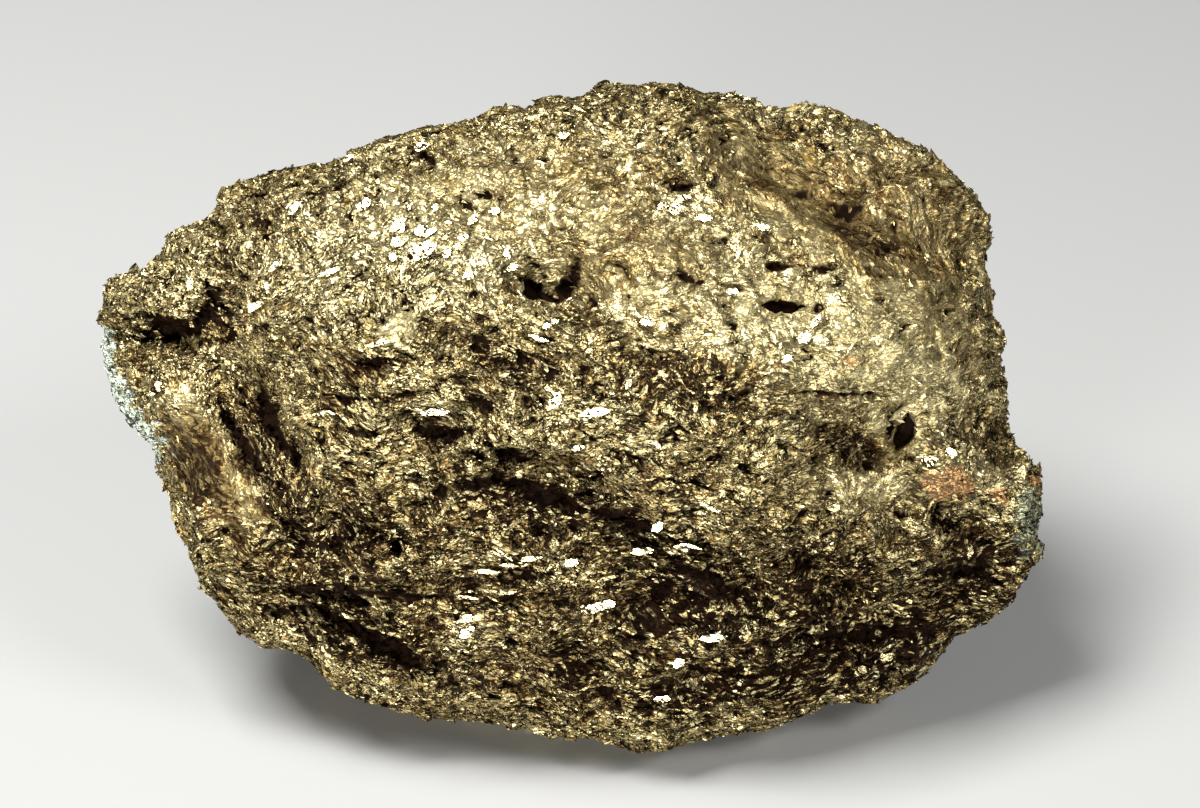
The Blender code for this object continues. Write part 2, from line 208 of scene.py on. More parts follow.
class LumpSettings(bpy.types.PropertyGroup):
    """Sizes of the lump's fine break."""

    voxel: bpy.props.FloatProperty(
        name="Finest step", description="Size of the grid that the break is worked on",
        default=0.34 * MM, min=0.2 * MM, max=2 * MM, unit="LENGTH", precision=5)
    kept_faces: bpy.props.IntProperty(
        name="Kept faces", description="Triangles left after the flattest are thinned out",
        default=194000, min=20000, max=199000)
    ledge: bpy.props.FloatProperty(
        name="Ledge size", description="Width of the ledges that the lump broke in",
        default=5.5 * MM, unit="LENGTH", precision=5)
    block: bpy.props.FloatProperty(
        name="Block size", description="Width of the broken blocks on the ledges",
        default=2.4 * MM, unit="LENGTH", precision=5)
    chip: bpy.props.FloatProperty(
        name="Chip size", description="Width of the small chips on the blocks",
        default=1.1 * MM, unit="LENGTH", precision=5)
    crack: bpy.props.FloatProperty(
        name="Crack depth", description="Depth of the thin cracks along the layers",
        default=0.6 * MM, unit="LENGTH", precision=5)


# Between these heights over the floor, in mm, the break sets in. Under them the foot is flat.
FOOT = (0.1, 1.3)
# Where the break is even, it is lower and its flakes less crazed, each by this share.
EVEN_LOWER = 0.6
EVEN_CLEARER = 0.6
LUMP_TONE = 0.7  # how tarnished the lump is between its flakes, from 0 to 1
CRACK_BENDS = 5.0  # how far apart the bends and forks of the thin cracks lie, in mm
CRACK_WIDTH = (0.035, 0.012)
CRACK_NOISE = {"Detail": 2.0, "Roughness": 0.6}
CRACK_PATCHES = 3.0  # how wide the patches are that have cracks or none, in mm
PATCH_DRAW = 3.0  # which of the noise's patterns the patches are
CRACKED = (0.48, 0.58)  # the random value of a patch that begins to have them, and that is full
SUNK = {"sunk_fine": 5, "sunk_broad": 60}  # attribute and the blur steps that it is measured over
NORMAL_STEPS = 8  # and the blur steps of the surface's normal
TOGETHER = 2.0  # how many blocks wide a group is whose flakes lean together
WELDED = 1e-6  # points of the frame's solid that are nearer than this, in metres, are one
EASED = {"factor": 0.5, "iterations": 5}  # how the grid's steps are smoothed away


def layered_place(tree, place, bend):
    """The place, in mm, in the space that the ore's blocks and flakes are laid out in."""
    return flattened(tree, waved(tree, place, *LAYER_WAVES), FLATNESS, bend)


def crack_lines(tree, layered, even):
    """Thin cracks that wander along the layers, here and there: 0 outside them to 1 within.

    There are none where even is 1.
    """
    line = wandering_lines(tree, layered, CRACK_BENDS, CRACK_WIDTH, **CRACK_NOISE)
    patches = add_node(tree, "ShaderNodeTexNoise",
                       {"Vector": layered, "W": PATCH_DRAW, "Scale": 1.0 / CRACK_PATCHES,
                        "Detail": 0.0}, noise_dimensions="4D")
    here = add_node(tree, "ShaderNodeMapRange", (patches, *CRACKED), **SMOOTH)
    broken = add_node(tree, "ShaderNodeMath", (1.0, even), operation="SUBTRACT")
    share = add_node(tree, "ShaderNodeMath", (here, broken), operation="MULTIPLY")
    return add_node(tree, "ShaderNodeMath", (line, share), operation="MULTIPLY")


def geometry_tree(name, attributes):
    """Geometry nodes with the mesh that comes in, its points' places, normals and attributes."""
    tree = bpy.data.node_groups.new(name, "GeometryNodeTree")
    for way in ("INPUT", "OUTPUT"):
        tree.interface.new_socket("Geometry", in_out=way, socket_type="NodeSocketGeometry")
    mesh = add_node(tree, "NodeGroupInput")
    position = add_node(tree, "GeometryNodeInputPosition")
    normal = add_node(tree, "GeometryNodeInputNormal")
    values = (add_node(tree, "GeometryNodeInputNamedAttribute", {"Name": name}, data_type="FLOAT")
              for name in attributes)
    return tree, mesh, position, normal, *values


def relief_tree(settings):
    """Geometry nodes that work the fine break into the smoothed lump."""
    tree, whole, position, normal, bend, even = geometry_tree("fine_break", ("bend", "smooth"))
    place = add_node(tree, "ShaderNodeVectorMath", {0: position, "Scale": 1.0 / MM},
                     operation="SCALE")
    layered = layered_place(tree, place, bend)
    rough = waved(tree, layered, *BLOCK_WAVES)
    height = add_node(tree, "ShaderNodeMath", (crack_lines(tree, layered, even),
                                               -settings.crack / MM), operation="MULTIPLY")
    for where, size, blocks in ((layered, settings.ledge, LEDGES),
                                (rough, settings.block, BLOCKS), (rough, settings.chip, CHIPS)):
        stand = tilted_blocks(tree, where, size / MM, blocks)
        height = add_node(tree, "ShaderNodeMath", (height, stand), operation="ADD")
    above = add_node(tree, "ShaderNodeSeparateXYZ", (place,), "Z")
    clear = add_node(tree, "ShaderNodeMapRange", (above, *FOOT), **SMOOTH)
    free = add_node(tree, "ShaderNodeMath", (even, -EVEN_LOWER, 1.0), operation="MULTIPLY_ADD")
    for share in (clear, free, MM):
        height = add_node(tree, "ShaderNodeMath", (height, share), operation="MULTIPLY")
    offset = add_node(tree, "ShaderNodeVectorMath", {0: normal, "Scale": height},
                      operation="SCALE")
    moved = add_node(tree, "GeometryNodeSetPosition", {"Geometry": whole, "Offset": offset})
    # Nothing goes through the floor.
    new_place = add_node(tree, "GeometryNodeInputPosition")
    rested = add_node(tree, "ShaderNodeVectorMath", (new_place, (-1.0, -1.0, 0.0)),
                      operation="MAXIMUM")
    kept = add_node(tree, "GeometryNodeSetPosition", {"Geometry": moved, "Position": rested})
    add_node(tree, "NodeGroupOutput", (kept,))
    return tree


def measure_tree(settings):
    """Geometry nodes that store what the flakes and the ore's colour need at each point.

    How deep the point lies under its surroundings, in mm, the normal of the surface round it,
    and the turn that its group of blocks shares.
    """
    tree, mesh, position, normal, bend = geometry_tree("measured_hollows", ("bend",))
    broad = add_node(tree, "GeometryNodeBlurAttribute",
                     {"Value": normal, "Iterations": NORMAL_STEPS}, data_type="FLOAT_VECTOR")
    place = add_node(tree, "ShaderNodeVectorMath", {0: position, "Scale": 1.0 / MM},
                     operation="SCALE")
    block = add_node(tree, "ShaderNodeTexVoronoi",
                     {"Vector": layered_place(tree, place, bend),
                      "Scale": MM / (TOGETHER * settings.block)}, "Color")
    turn = add_node(tree, "ShaderNodeVectorMath", (block, HALVES), operation="SUBTRACT")
    values = {"broad_normal": ("FLOAT_VECTOR", broad), "block_turn": ("FLOAT_VECTOR", turn)}
    for name, steps in SUNK.items():
        around = add_node(tree, "GeometryNodeBlurAttribute",
                          {"Value": position, "Iterations": steps}, data_type="FLOAT_VECTOR")
        gap = add_node(tree, "ShaderNodeVectorMath", (around, position), operation="SUBTRACT")
        depth = add_node(tree, "ShaderNodeVectorMath", (gap, broad), "Value",
                         operation="DOT_PRODUCT")
        in_mm = add_node(tree, "ShaderNodeMath", (depth, 1.0 / MM), operation="MULTIPLY")
        values[name] = ("FLOAT", in_mm)
    for name, (kind, value) in values.items():
        mesh = add_node(tree, "GeometryNodeStoreNamedAttribute",
                        {"Geometry": mesh, "Name": name, "Value": value},
                        data_type=kind, domain="POINT")
    add_node(tree, "NodeGroupOutput", (mesh,))
    return tree


def worked(piece, steps):
    """Applies modifiers, given as (kind, settings), to the piece's mesh in turn."""
    for number, (kind, settings) in enumerate(steps):
        modifier = piece.modifiers.new(f"{kind.lower()}_{number}", kind)
        for name, value in settings.items():
            setattr(modifier, name, value)
    graph = bpy.context.evaluated_depsgraph_get()
    mesh = bpy.data.meshes.new_from_object(piece.evaluated_get(graph))
    piece.modifiers.clear()
    piece.data = mesh


def finished(context, piece):
    """Gives a piece of the lump its ore and its place in the model."""
    piece.data.shade_flat()
    piece.data.materials.append(ore_of(context))
    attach(piece, BODY)


class CHALCOPYRITE_OT_make_lump(bpy.types.Operator):
    """Works the lump's fine break into a copy of the frame's solid"""

    bl_idname = "chalcopyrite.make_lump"
    bl_label = "Broken Lump"

    def execute(self, context):
        settings = context.scene.chalcopyrite_lump
        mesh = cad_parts[NODE].data.copy()
        bm = bmesh.new()
        bm.from_mesh(mesh)
        bmesh.ops.remove_doubles(bm, verts=bm.verts, dist=WELDED)
        bm.to_mesh(mesh)
        bm.free()
        mesh.materials.clear()
        piece = placed(context, LUMP, mesh)
        worked(piece, [
            ("REMESH", {"mode": "VOXEL", "voxel_size": settings.voxel}),
            ("SMOOTH", EASED),
        ])
        carved(piece.data)
        worked(piece, [("NODES", {"node_group": relief_tree(settings)})])
        ratio = settings.kept_faces / (2.0 * len(piece.data.polygons))
        worked(piece, [
            ("DECIMATE", {"ratio": min(ratio, 1.0), "use_collapse_triangulate": True})])
        smooth = values_of(piece.data.attributes["smooth"].data, "value")
        store(piece.data, "tone", np.full(len(smooth), LUMP_TONE))
        store(piece.data, "crazed", 1.0 - EVEN_CLEARER * smooth)
        worked(piece, [("NODES", {"node_group": measure_tree(settings)})])
        finished(context, piece)
        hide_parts(NODE)
        return {"FINISHED"}


# ---------------------------------------------------------------------------
# The flakes that stand out of the break
# ---------------------------------------------------------------------------


class FlakeSettings(bpy.types.PropertyGroup):
    """Numbers and sizes of the flakes."""

    fine_count: bpy.props.IntProperty(
        name="Fine flakes", description="Number of fine flakes in each of the two layers",
        default=32500, min=0, max=33000)
    fine_length: bpy.props.FloatProperty(
        name="Fine flake", description="Usual length of a fine flake",
        default=0.74 * MM, unit="LENGTH", precision=5)
    coarse_count: bpy.props.IntProperty(
        name="Coarse flakes", description="Number of coarse flakes", default=3600, min=0,
        max=24500)
    coarse_length: bpy.props.FloatProperty(
        name="Coarse flake", description="Usual length of a coarse flake",
        default=1.4 * MM, unit="LENGTH", precision=5)
    bright_count: bpy.props.IntProperty(
        name="Bright flakes", description="Number of slender flakes that face the light",
        default=2200, min=0, max=24500)
    bright_length: bpy.props.FloatProperty(
        name="Bright flake", description="Usual length of a bright flake",
        default=1.0 * MM, unit="LENGTH", precision=5)


class Surface(NamedTuple):
    """The lump's surface as arrays, one row for each point, and its triangles."""

    places: np.ndarray
    triangles: np.ndarray
    normals: np.ndarray
    turns: np.ndarray
    sunk_fine: np.ndarray
    sunk_broad: np.ndarray
    tones: dict


def values_of(items, name, width=1):
    """One attribute of a mesh's items as an array."""
    found = np.empty(len(items) * width)
    items.foreach_get(name, found)
    return found.reshape(-1, width) if width > 1 else found


def surface_of(piece):
    """The surface of a piece of triangles that has been measured."""
    mesh = piece.data
    triangles = np.empty(len(mesh.polygons) * 3, dtype=np.int64)
    mesh.polygons.foreach_get("vertices", triangles)
    stored = mesh.attributes
    return Surface(
        places=values_of(mesh.vertices, "co", 3),
        triangles=triangles.reshape(-1, 3),
        normals=values_of(stored["broad_normal"].data, "vector", 3),
        turns=values_of(stored["block_turn"].data, "vector", 3),
        sunk_fine=values_of(stored["sunk_fine"].data, "value"),
        sunk_broad=values_of(stored["sunk_broad"].data, "value"),
        tones={name: values_of(stored[name].data, "value") for name in TONES})


def store(mesh, name, values):
    """Keeps one value for each point in the mesh, under this name."""
    stored = mesh.attributes.get(name) or mesh.attributes.new(name, "FLOAT", "POINT")
    stored.data.foreach_set("value", values)


def unit(rows):
    """Each row as a vector of length 1."""
    return rows / np.linalg.norm(rows, axis=1, keepdims=True)


def stepped(values, low, high):
    """The same smooth step as in the node trees, on an array."""
    share = np.clip((values - low) / (high - low), 0.0, 1.0)
    return share * share * (3.0 - 2.0 * share)


def faced(places):
    """Places as across, up and out from the broad face's middle, in mm.

    What stands out toward the viewer spreads, as it does seen from an arm's length.
    """
    held = (places - np.array(FACE_MIDDLE)) @ np.array([ACROSS, UP, OUT]).T / MM
    spread = ARM / (ARM - held[:, 2:].clip(0.0))
    held[:, :2] += (held[:, :2] - SEEN_FROM) * (spread - 1.0)
    return held


class Region(NamedTuple):
    """An oval on the broad face, in mm: its middle, half sizes, turn in degrees and strength.

    depth is how far it is sunk, in mm. One that is sunk and thin is a slit with pointed ends.
    """

    across: float
    up: float
    half_across: float
    half_up: float
    turn: float = 0.0
    share: float = 1.0
    depth: float = 0.0


# How the broad face's finish differs from place to place, and where painted shade and painted
# highlight lie on it.
REGIONS = {
    # Painted shade with some tarnish, in the shelter under the ledges and low on the face.
    "dulled": (
        # Under the great ledge and along it.
        Region(-4.6, -8.2, 10.0, 3.0, -10.0, 0.75, 0.6),
        Region(8.2, -12.3, 6.5, 1.7, -28.0, 0.7, 0.6),
        Region(-9.9, -7.1, 3.0, 0.8, 18.0, 1.0, 1.0),
        Region(-3.2, -8.3, 5.4, 0.98, -20.0, 1.0, 1.2),
        Region(4.9, -11.1, 4.6, 0.6, -20.0, 1.0, 1.0),
        Region(-6.6, -3.9, 2.8, 0.6, -14.0, 1.0, 0.7),
        Region(-13.9, -1.4, 3.2, 0.8, -4.0, 1.0, 0.9),
        # The striped band down the left, and the hook round the knob.
        Region(-31.4, -1.1, 6.6, 0.8, -65.0, 1.0, 0.8),
        Region(-34.5, -3.4, 6.4, 0.6, -58.0, 0.9, 0.6), Region(-33.0, -4.0, 8.0, 2.6, -62.0, 0.6),
        Region(-28.3, -12.8, 2.6, 1.4, -30.0, 1.0, 0.6),
        Region(-43.1, 9.6, 3.8, 0.9, -22.0, 1.0, 0.9),
        Region(-39.3, 10.9, 3.2, 0.7, 62.0, 1.0, 0.9),
        Region(-37.4, 11.0, 3.2, 1.0, -66.0, 1.0, 0.8),
        Region(-44.5, -11.0, 8.0, 1.1, -62.0, 0.9, 0.3),
        # Slits and lines above the great ledge and on the left.
        Region(-22.0, -12.2, 5.5, 1.4, -5.0, 1.0, 0.8),
        Region(-23.9, 1.9, 3.6, 0.5, 0.0, 1.0, 0.7), Region(-18.2, 2.3, 1.7, 0.4, 0.0, 1.0, 0.5),
        Region(-22.8, -1.7, 2.6, 0.4, -6.0, 0.9, 0.5),
        Region(-21.2, 6.0, 2.5, 0.5, 14.0, 1.0, 0.6), Region(-23.8, 4.3, 3.0, 1.3, 0.0, 0.5),
        Region(-3.5, 13.4, 2.9, 0.7, -33.0, 1.0, 0.7),
        Region(-0.9, 13.9, 3.3, 0.7, 64.0, 1.0, 0.6), Region(1.2, 10.4, 2.8, 1.1, -10.0, 0.6),
        Region(-9.6, 23.8, 1.4, 0.3, 10.0, 0.9, 0.4),
        Region(-36.8, 17.0, 1.9, 1.3, -40.0, 0.8, 0.4),
        Region(-33.4, 21.0, 1.6, 0.8, -20.0, 0.7, 0.3),
        Region(-6.2, 6.4, 5.0, 1.4, -18.0, 0.8, 0.5),
        # The right half: the slit, the lines beside it and the valley's floor.
        Region(11.2, 24.9, 1.9, 0.5, -3.0, 1.0, 0.6), Region(22.4, 11.8, 2.5, 0.55, 0.0, 1.0, 1.0),
        Region(17.0, 13.8, 1.8, 0.4, -12.0, 1.0, 0.6),
        Region(12.6, 15.0, 1.8, 0.4, -22.0, 1.0, 0.5),
        Region(26.6, 15.9, 2.5, 0.4, -5.0, 1.0, 0.6), Region(22.1, 16.1, 1.8, 0.35, 0.0, 0.9, 0.5),
        Region(20.0, 24.6, 4.0, 0.7, -33.0, 0.6), Region(31.0, 19.2, 6.0, 0.8, -22.0, 0.8, 0.2),
        Region(33.2, 18.0, 2.0, 0.7, -22.0, 0.9, 0.4),
        Region(32.4, 15.4, 1.5, 0.5, -20.0, 0.8, 0.4), Region(28.8, 2.3, 5.4, 0.4, -3.0, 1.0, 0.6),
        Region(35.2, -1.7, 2.0, 0.7, 70.0, 1.0, 0.8),
        Region(30.4, -3.0, 3.4, 1.8, -25.0, 0.75, 0.2), Region(43.6, -1.4, 1.8, 2.4, 0.0, 0.5),
        Region(13.0, 4.6, 8.5, 3.0, -6.0, 0.6, 0.1), Region(-7.6, 23.0, 1.0, 0.3, -50.0, 0.9, 0.3),
        Region(-11.0, 22.6, 1.2, 0.25, -30.0, 0.9, 0.3),
        # Low on the face.
        Region(39.4, -10.5, 1.3, 1.2, 0.0, 0.9, 0.3), Region(25.7, -14.4, 2.0, 1.0, 0.0, 0.8, 0.2),
        Region(30.8, -15.4, 1.6, 1.0, -30.0, 0.9, 0.3),
        Region(15.4, -18.4, 7.6, 2.8, -14.0, 0.85, 0.8),
        Region(9.3, -21.6, 4.8, 1.7, -10.0, 0.9, 0.5),
        Region(-22.8, -23.3, 9.0, 1.8, -22.0, 0.8, 0.5),
        Region(-21.8, -23.4, 7.4, 0.9, -30.0, 1.0, 1.3),
        Region(-17.6, -25.4, 3.2, 0.98, -45.0, 1.0, 1.3),
        Region(-31.3, -20.9, 3.4, 0.4, 12.0, 1.0, 0.6),
        Region(-23.0, -18.9, 13.0, 0.6, -3.0, 0.8, 0.6),
        Region(41.6, -17.0, 3.6, 1.9, 5.0, 1.0, 0.4), Region(30.4, -23.0, 9.5, 2.4, 8.0, 1.0, 0.5),
        Region(41.5, -16.4, 3.4, 0.95, 5.0, 1.0, 0.9),
        Region(31.0, -23.4, 9.0, 0.8, 5.0, 1.0, 1.0),
        Region(14.5, -17.4, 6.0, 0.8, -16.0, 1.0, 0.9),
        Region(22.6, -27.4, 9.0, 2.3, 6.0, 1.0, 0.5), Region(31.0, -25.6, 14.0, 4.6, 15.0, 0.7),
        Region(0.8, -26.8, 3.4, 1.9, -70.0, 0.9, 0.5),
        Region(10.5, -29.6, 7.0, 1.8, 4.0, 0.8, 0.4), Region(-8.0, -19.5, 5.0, 0.4, 2.0, 1.0, 0.5),
        Region(-5.6, -17.2, 4.2, 0.4, 4.0, 0.9, 0.4), Region(5.5, -18.2, 3.2, 0.4, 8.0, 0.9, 0.4),
        Region(44.0, -16.0, 5.0, 4.5, 0.0, 0.7), Region(-4.0, -21.0, 32.0, 11.0, 0.0, 0.36),
        Region(-28.0, -14.0, 9.0, 7.0, 0.0, 0.4), Region(-39.5, -5.5, 8.0, 3.2, -64.0, 0.9),
        Region(26.0, -22.0, 20.0, 8.0, 10.0, 0.5), Region(27.0, 22.6, 15.0, 4.0, -32.0, 0.5),
        Region(3.0, 21.0, 14.0, 7.0, -10.0, 0.25), Region(36.5, 22.0, 9.0, 6.0, -45.0, 0.4),
        Region(-43.0, 8.0, 5.0, 7.0, 0.0, 0.25),
    ),
    # Lighter, cleaner ore, partly painted highlight: high on the face and where it stands out.
    "fresh": (
        Region(-18.0, 17.5, 15.0, 8.5, 10.0, 0.7), Region(-16.9, 18.4, 4.0, 2.4, 10.0, 1.0),
        Region(-26.3, 14.8, 4.6, 2.2, 20.0, 0.8), Region(-43.0, 14.0, 7.0, 4.0, 30.0, 0.5),
        Region(-19.8, 20.8, 1.6, 1.4, 0.0, 1.0), Region(-30.0, 22.6, 1.4, 1.0, 60.0, 0.9),
        Region(11.6, 22.2, 3.4, 2.0, -10.0, 1.0), Region(20.4, 20.2, 1.8, 0.8, -20.0, 1.0),
        Region(25.0, 17.9, 1.6, 0.8, -20.0, 1.0), Region(24.8, 8.9, 3.0, 2.2, 0.0, 1.0),
        Region(27.0, 8.5, 15.0, 6.5, -25.0, 0.7), Region(-43.0, 2.6, 3.6, 3.6, -50.0, 0.6),
        Region(38.0, 1.5, 8.0, 4.0, -40.0, 0.5), Region(-11.4, -22.8, 1.8, 2.2, 0.0, 0.9),
        Region(-15.3, 0.9, 3.0, 0.8, 4.0, 0.9), Region(1.3, 0.3, 4.6, 1.5, -10.0, 0.7),
        Region(40.0, -4.3, 3.8, 1.9, -8.0, 1.0), Region(31.0, -7.4, 4.4, 1.5, -5.0, 0.6),
        Region(42.5, -7.4, 5.5, 1.8, 0.0, 0.8), Region(47.5, -10.5, 2.0, 3.5, 0.0, 0.6),
        Region(35.5, -16.0, 2.4, 1.2, -45.0, 0.8), Region(14.5, -24.0, 3.4, 0.8, 10.0, 1.0),
        Region(18.9, -22.6, 3.4, 1.3, 5.0, 1.0), Region(40.0, -13.4, 6.0, 1.0, -20.0, 0.7),
        Region(11.0, -26.6, 1.4, 1.3, 40.0, 0.9), Region(10.0, -30.9, 1.6, 0.8, 0.0, 0.9),
        Region(-12.0, -15.6, 10.0, 0.9, 4.0, 0.6), Region(-26.0, -25.6, 8.0, 1.1, -27.0, 0.9),
    ),
    # Where the break is fine and even.
    "smooth": (
        Region(26.5, 22.0, 15.0, 4.6, -33.0, 0.95), Region(-39.3, -5.0, 8.0, 3.0, -64.0, 1.0),
        Region(36.0, 9.0, 7.0, 9.0, 20.0, 0.6), Region(36.5, 22.0, 10.0, 6.0, -45.0, 0.55),
        Region(6.0, 18.0, 22.0, 9.0, -12.0, 0.4), Region(-10.0, 24.0, 18.0, 5.0, 12.0, 0.3),
        Region(28.0, 6.0, 16.0, 7.0, -20.0, 0.3), Region(31.3, -7.6, 4.2, 1.6, -5.0, 0.4),
        Region(34.8, -1.6, 3.2, 2.8, 0.0, 0.9), Region(22.4, 11.8, 4.2, 2.0, 0.0, 0.8),
        Region(35.0, -7.0, 12.0, 3.0, 0.0, 0.3), Region(5.5, 13.8, 4.8, 2.4, -25.0, 0.5),
        Region(9.5, 17.5, 3.0, 1.6, -20.0, 0.9), Region(3.3, 20.7, 2.6, 1.4, 0.0, 0.8),
        Region(-18.6, 9.6, 2.4, 1.5, 30.0, 0.9), Region(-36.0, -8.5, 4.0, 1.6, -60.0, 0.8),
    ),
    "rust": (
        Region(40.3, -7.2, 3.6, 2.0), Region(45.6, -8.5, 1.8, 0.8), Region(49.4, -6.9, 1.2, 0.8),
        Region(29.4, 5.6, 1.0, 0.6), Region(6.3, 19.0, 3.2, 1.6, -20.0, 0.5),
        Region(-14.0, 10.5, 2.8, 1.2, 30.0, 0.5), Region(16.0, 3.0, 6.0, 3.0, 0.0, 0.35),
        Region(8.0, -6.6, 1.8, 1.3, 0.0, 0.6), Region(4.6, -26.0, 1.6, 2.0, 0.0, 0.5),
        Region(12.5, -18.6, 2.0, 0.9, 0.0, 0.6), Region(-35.4, 9.8, 0.9, 1.6, 0.0, 0.6),
        Region(29.5, 25.3, 3.5, 1.5, -30.0, 0.5), Region(-27.2, -6.5, 0.9, 2.4, 10.0, 0.5),
        Region(-10.0, -28.0, 5.0, 1.6, -10.0, 0.5),
    ),
    "yellow": (
        Region(-13.1, 24.6, 1.8, 1.0), Region(25.6, 27.4, 1.4, 0.9, 0.0, 0.7),
        Region(-20.5, 14.0, 2.0, 1.2, 0.0, 0.6), Region(-28.0, 25.0, 4.0, 1.0, 20.0, 0.5),
    ),
    "green": (
        Region(48.8, -11.2, 1.8, 4.2), Region(38.0, -26.0, 8.0, 3.0, 25.0, 0.5),
        Region(-38.0, 14.4, 1.6, 1.2, 0.0, 0.4),
    ),
    # Pale whitish green along the left end's rim.
    "pale": (
        Region(-49.2, 6.6, 4.6, 0.6, -80.0), Region(-48.2, 2.2, 4.6, 1.1, -70.0),
        Region(-45.4, -2.2, 3.6, 1.5, -57.0),
    ),
}
# Where the rim stands out more than the frame's solid: depth is below 0.
RAISED = (
    Region(-50.5, 3.0, 7.0, 3.0, -68.0, 1.0, -1.0), Region(-49.5, 12.0, 3.5, 3.0, 40.0, 1.0, -0.9),
    Region(44.2, 14.0, 3.0, 2.6, 0.0, 1.0, -0.9),
)
FRONT = (-34.0, -22.0)  # how far out, in mm, the broad face's regions set in and show in full
STEEPER = 1.6  # a hollow's upper side, under its ledge, is this much steeper than its lower
# A sunk region that is thinner than two millimetres is a slit. It narrows to its ends, by up to
# this share, and counts as one where it is this deep, in mm.
SLITS = [region for region in REGIONS["dulled"] if region.depth and region.half_up < 1.0]
SLIT_POINTED = 0.75
SLIT_DEPTH = (0.2, 0.5)
# A region's edge wanders in two sets of waves, 3 and 2 mm long: how far each moves it, as a
# share of the half sizes, and how fast the wave turns across and up, in radians to the mm.
EDGE_WAVES = ((0.22, 1.9, 0.7), (0.18, -1.3, 3.1))
SLIT_WANDER = 0.25  # a slit's edge wanders by this share of that
SLIT_END = 0.08  # the least width of its ends, as a share of its own
# A region, a grain and the rim each fade in from the first to the second of these shares of
# their half sizes.
REGION_EDGE = (1.35, 0.55)
GRAIN_EDGE = (1.3, 0.6)
RIM_EDGE = (1.3, 0.4)
TONES = (*REGIONS, "slit", "bend")  # what is stored at each point for the flakes and the ore


class Grain(NamedTuple):
    """An oval on the broad face where the ore's layers lean their own way, in mm and degrees."""

    across: float
    up: float
    half_across: float
    half_up: float
    turn: float
    lean: float


GRAINS = (
    Grain(-33.0, -4.5, 10.0, 3.6, -62.0, -62.0), Grain(27.0, 21.5, 17.0, 5.5, -33.0, -34.0),
    Grain(-26.0, 14.5, 8.0, 5.0, 15.0, 20.0), Grain(28.0, -25.0, 18.0, 6.0, 12.0, 8.0),
)


def across_and_over(oval, across, up):
    """How far each place lies along an oval and across it, as shares of its half sizes."""
    turn = math.radians(oval.turn)
    x, y = across - oval.across, up - oval.up
    return ((x * math.cos(turn) + y * math.sin(turn)) / oval.half_across,
            (y * math.cos(turn) - x * math.sin(turn)) / oval.half_up)


def inside_of(region, across, up):
    """How far inside an oval with a wandering edge each place lies, from 0 to 1."""
    wander = sum(reach * np.sin(by_across * across + by_up * up)
                 for reach, by_across, by_up in EDGE_WAVES)
    along, over = across_and_over(region, across, up)
    if region.depth:
        over = np.where(over > 0.0, over * STEEPER, over / STEEPER)
    if region in SLITS:
        over = over / (1.0 - SLIT_POINTED * along * along).clip(SLIT_END)
        wander = SLIT_WANDER * wander
    return stepped(np.hypot(along, over) + wander, *REGION_EDGE)


def on_face(places):
    """Each place across and up the broad face, in mm, and how far it is on it, from 0 to 1."""
    across, up, out = faced(places).T
    return across, up, stepped(out, *FRONT)


def region_tones(places):
    """How far each place lies in each kind of region and in a slit, on the broad face's side.

    Each goes from 0 to 1. bend is how far the layers have risen there, in mm.
    """
    across, up, front = on_face(places)
    tones = {}
    for name, regions in REGIONS.items():
        clear = np.ones(len(places))
        for region in regions:
            clear *= 1.0 - inside_of(region, across, up) * region.share
        tones[name] = (1.0 - clear) * front
    tones["slit"] = stepped(sunk_depth(places, SLITS), *SLIT_DEPTH)
    tones["bend"] = np.zeros(len(places))
    for grain, share in leaning(across, up):
        tones["bend"] += share * front * layer_lean(grain) * (across - grain.across)
    return tones


def leaning(across, up):
    """Each grain region with how far each place lies inside it, from 0 to 1."""
    for grain in GRAINS:
        yield grain, stepped(np.hypot(*across_and_over(grain, across, up)), *GRAIN_EDGE)


def layer_lean(grain):
    """What a grain region adds to the layer normal's part across the face."""
    rise = LAYER_NORMAL.dot(UP)
    return -rise * math.tan(math.radians(grain.lean)) - LAYER_NORMAL.dot(ACROSS)


def layer_normals(places):
    """The normal of the ore's layers at each place."""
    across, up, front = on_face(places)
    normals = np.tile(np.array(LAYER_NORMAL), (len(places), 1))
    for grain, share in leaning(across, up):
        normals += (share * front * layer_lean(grain))[:, None] * np.array(ACROSS)
    return unit(normals)


def sunk_depth(places, regions):
    """How deep the hollows that these regions state are at each place, in mm."""
    across, up, front = on_face(places)
    depth = np.zeros(len(places))
    for region in regions:
        if region.depth:
            depth = np.maximum(depth, inside_of(region, across, up) * region.depth)
    return depth * front


def carved(mesh):
    """Stores each place's tones, and then sinks the hollows and raises the rim."""
    places = values_of(mesh.vertices, "co", 3)
    normals = values_of(mesh.vertex_normals, "vector", 3)
    for name, value in region_tones(places).items():
        store(mesh, name, value)
    depth = sunk_depth(places, REGIONS["dulled"])
    across, up, _ = on_face(places)
    for region in RAISED:
        depth += region.depth * stepped(
            np.hypot(*across_and_over(region, across, up)), *RIM_EDGE)
    places -= normals * (depth * MM)[:, None]
    mesh.vertices.foreach_set("co", places.ravel())
    mesh.update()


FLAT_FOOT = 1.2 * MM  # the part of the lump, over the floor, that has no flakes
# The depths that a flake counts as lying at darken it with the painted shade of the hollows, most
# at its root.
ROOT_SUNK = 0.4  # how deep a flake's root counts as lying, in mm
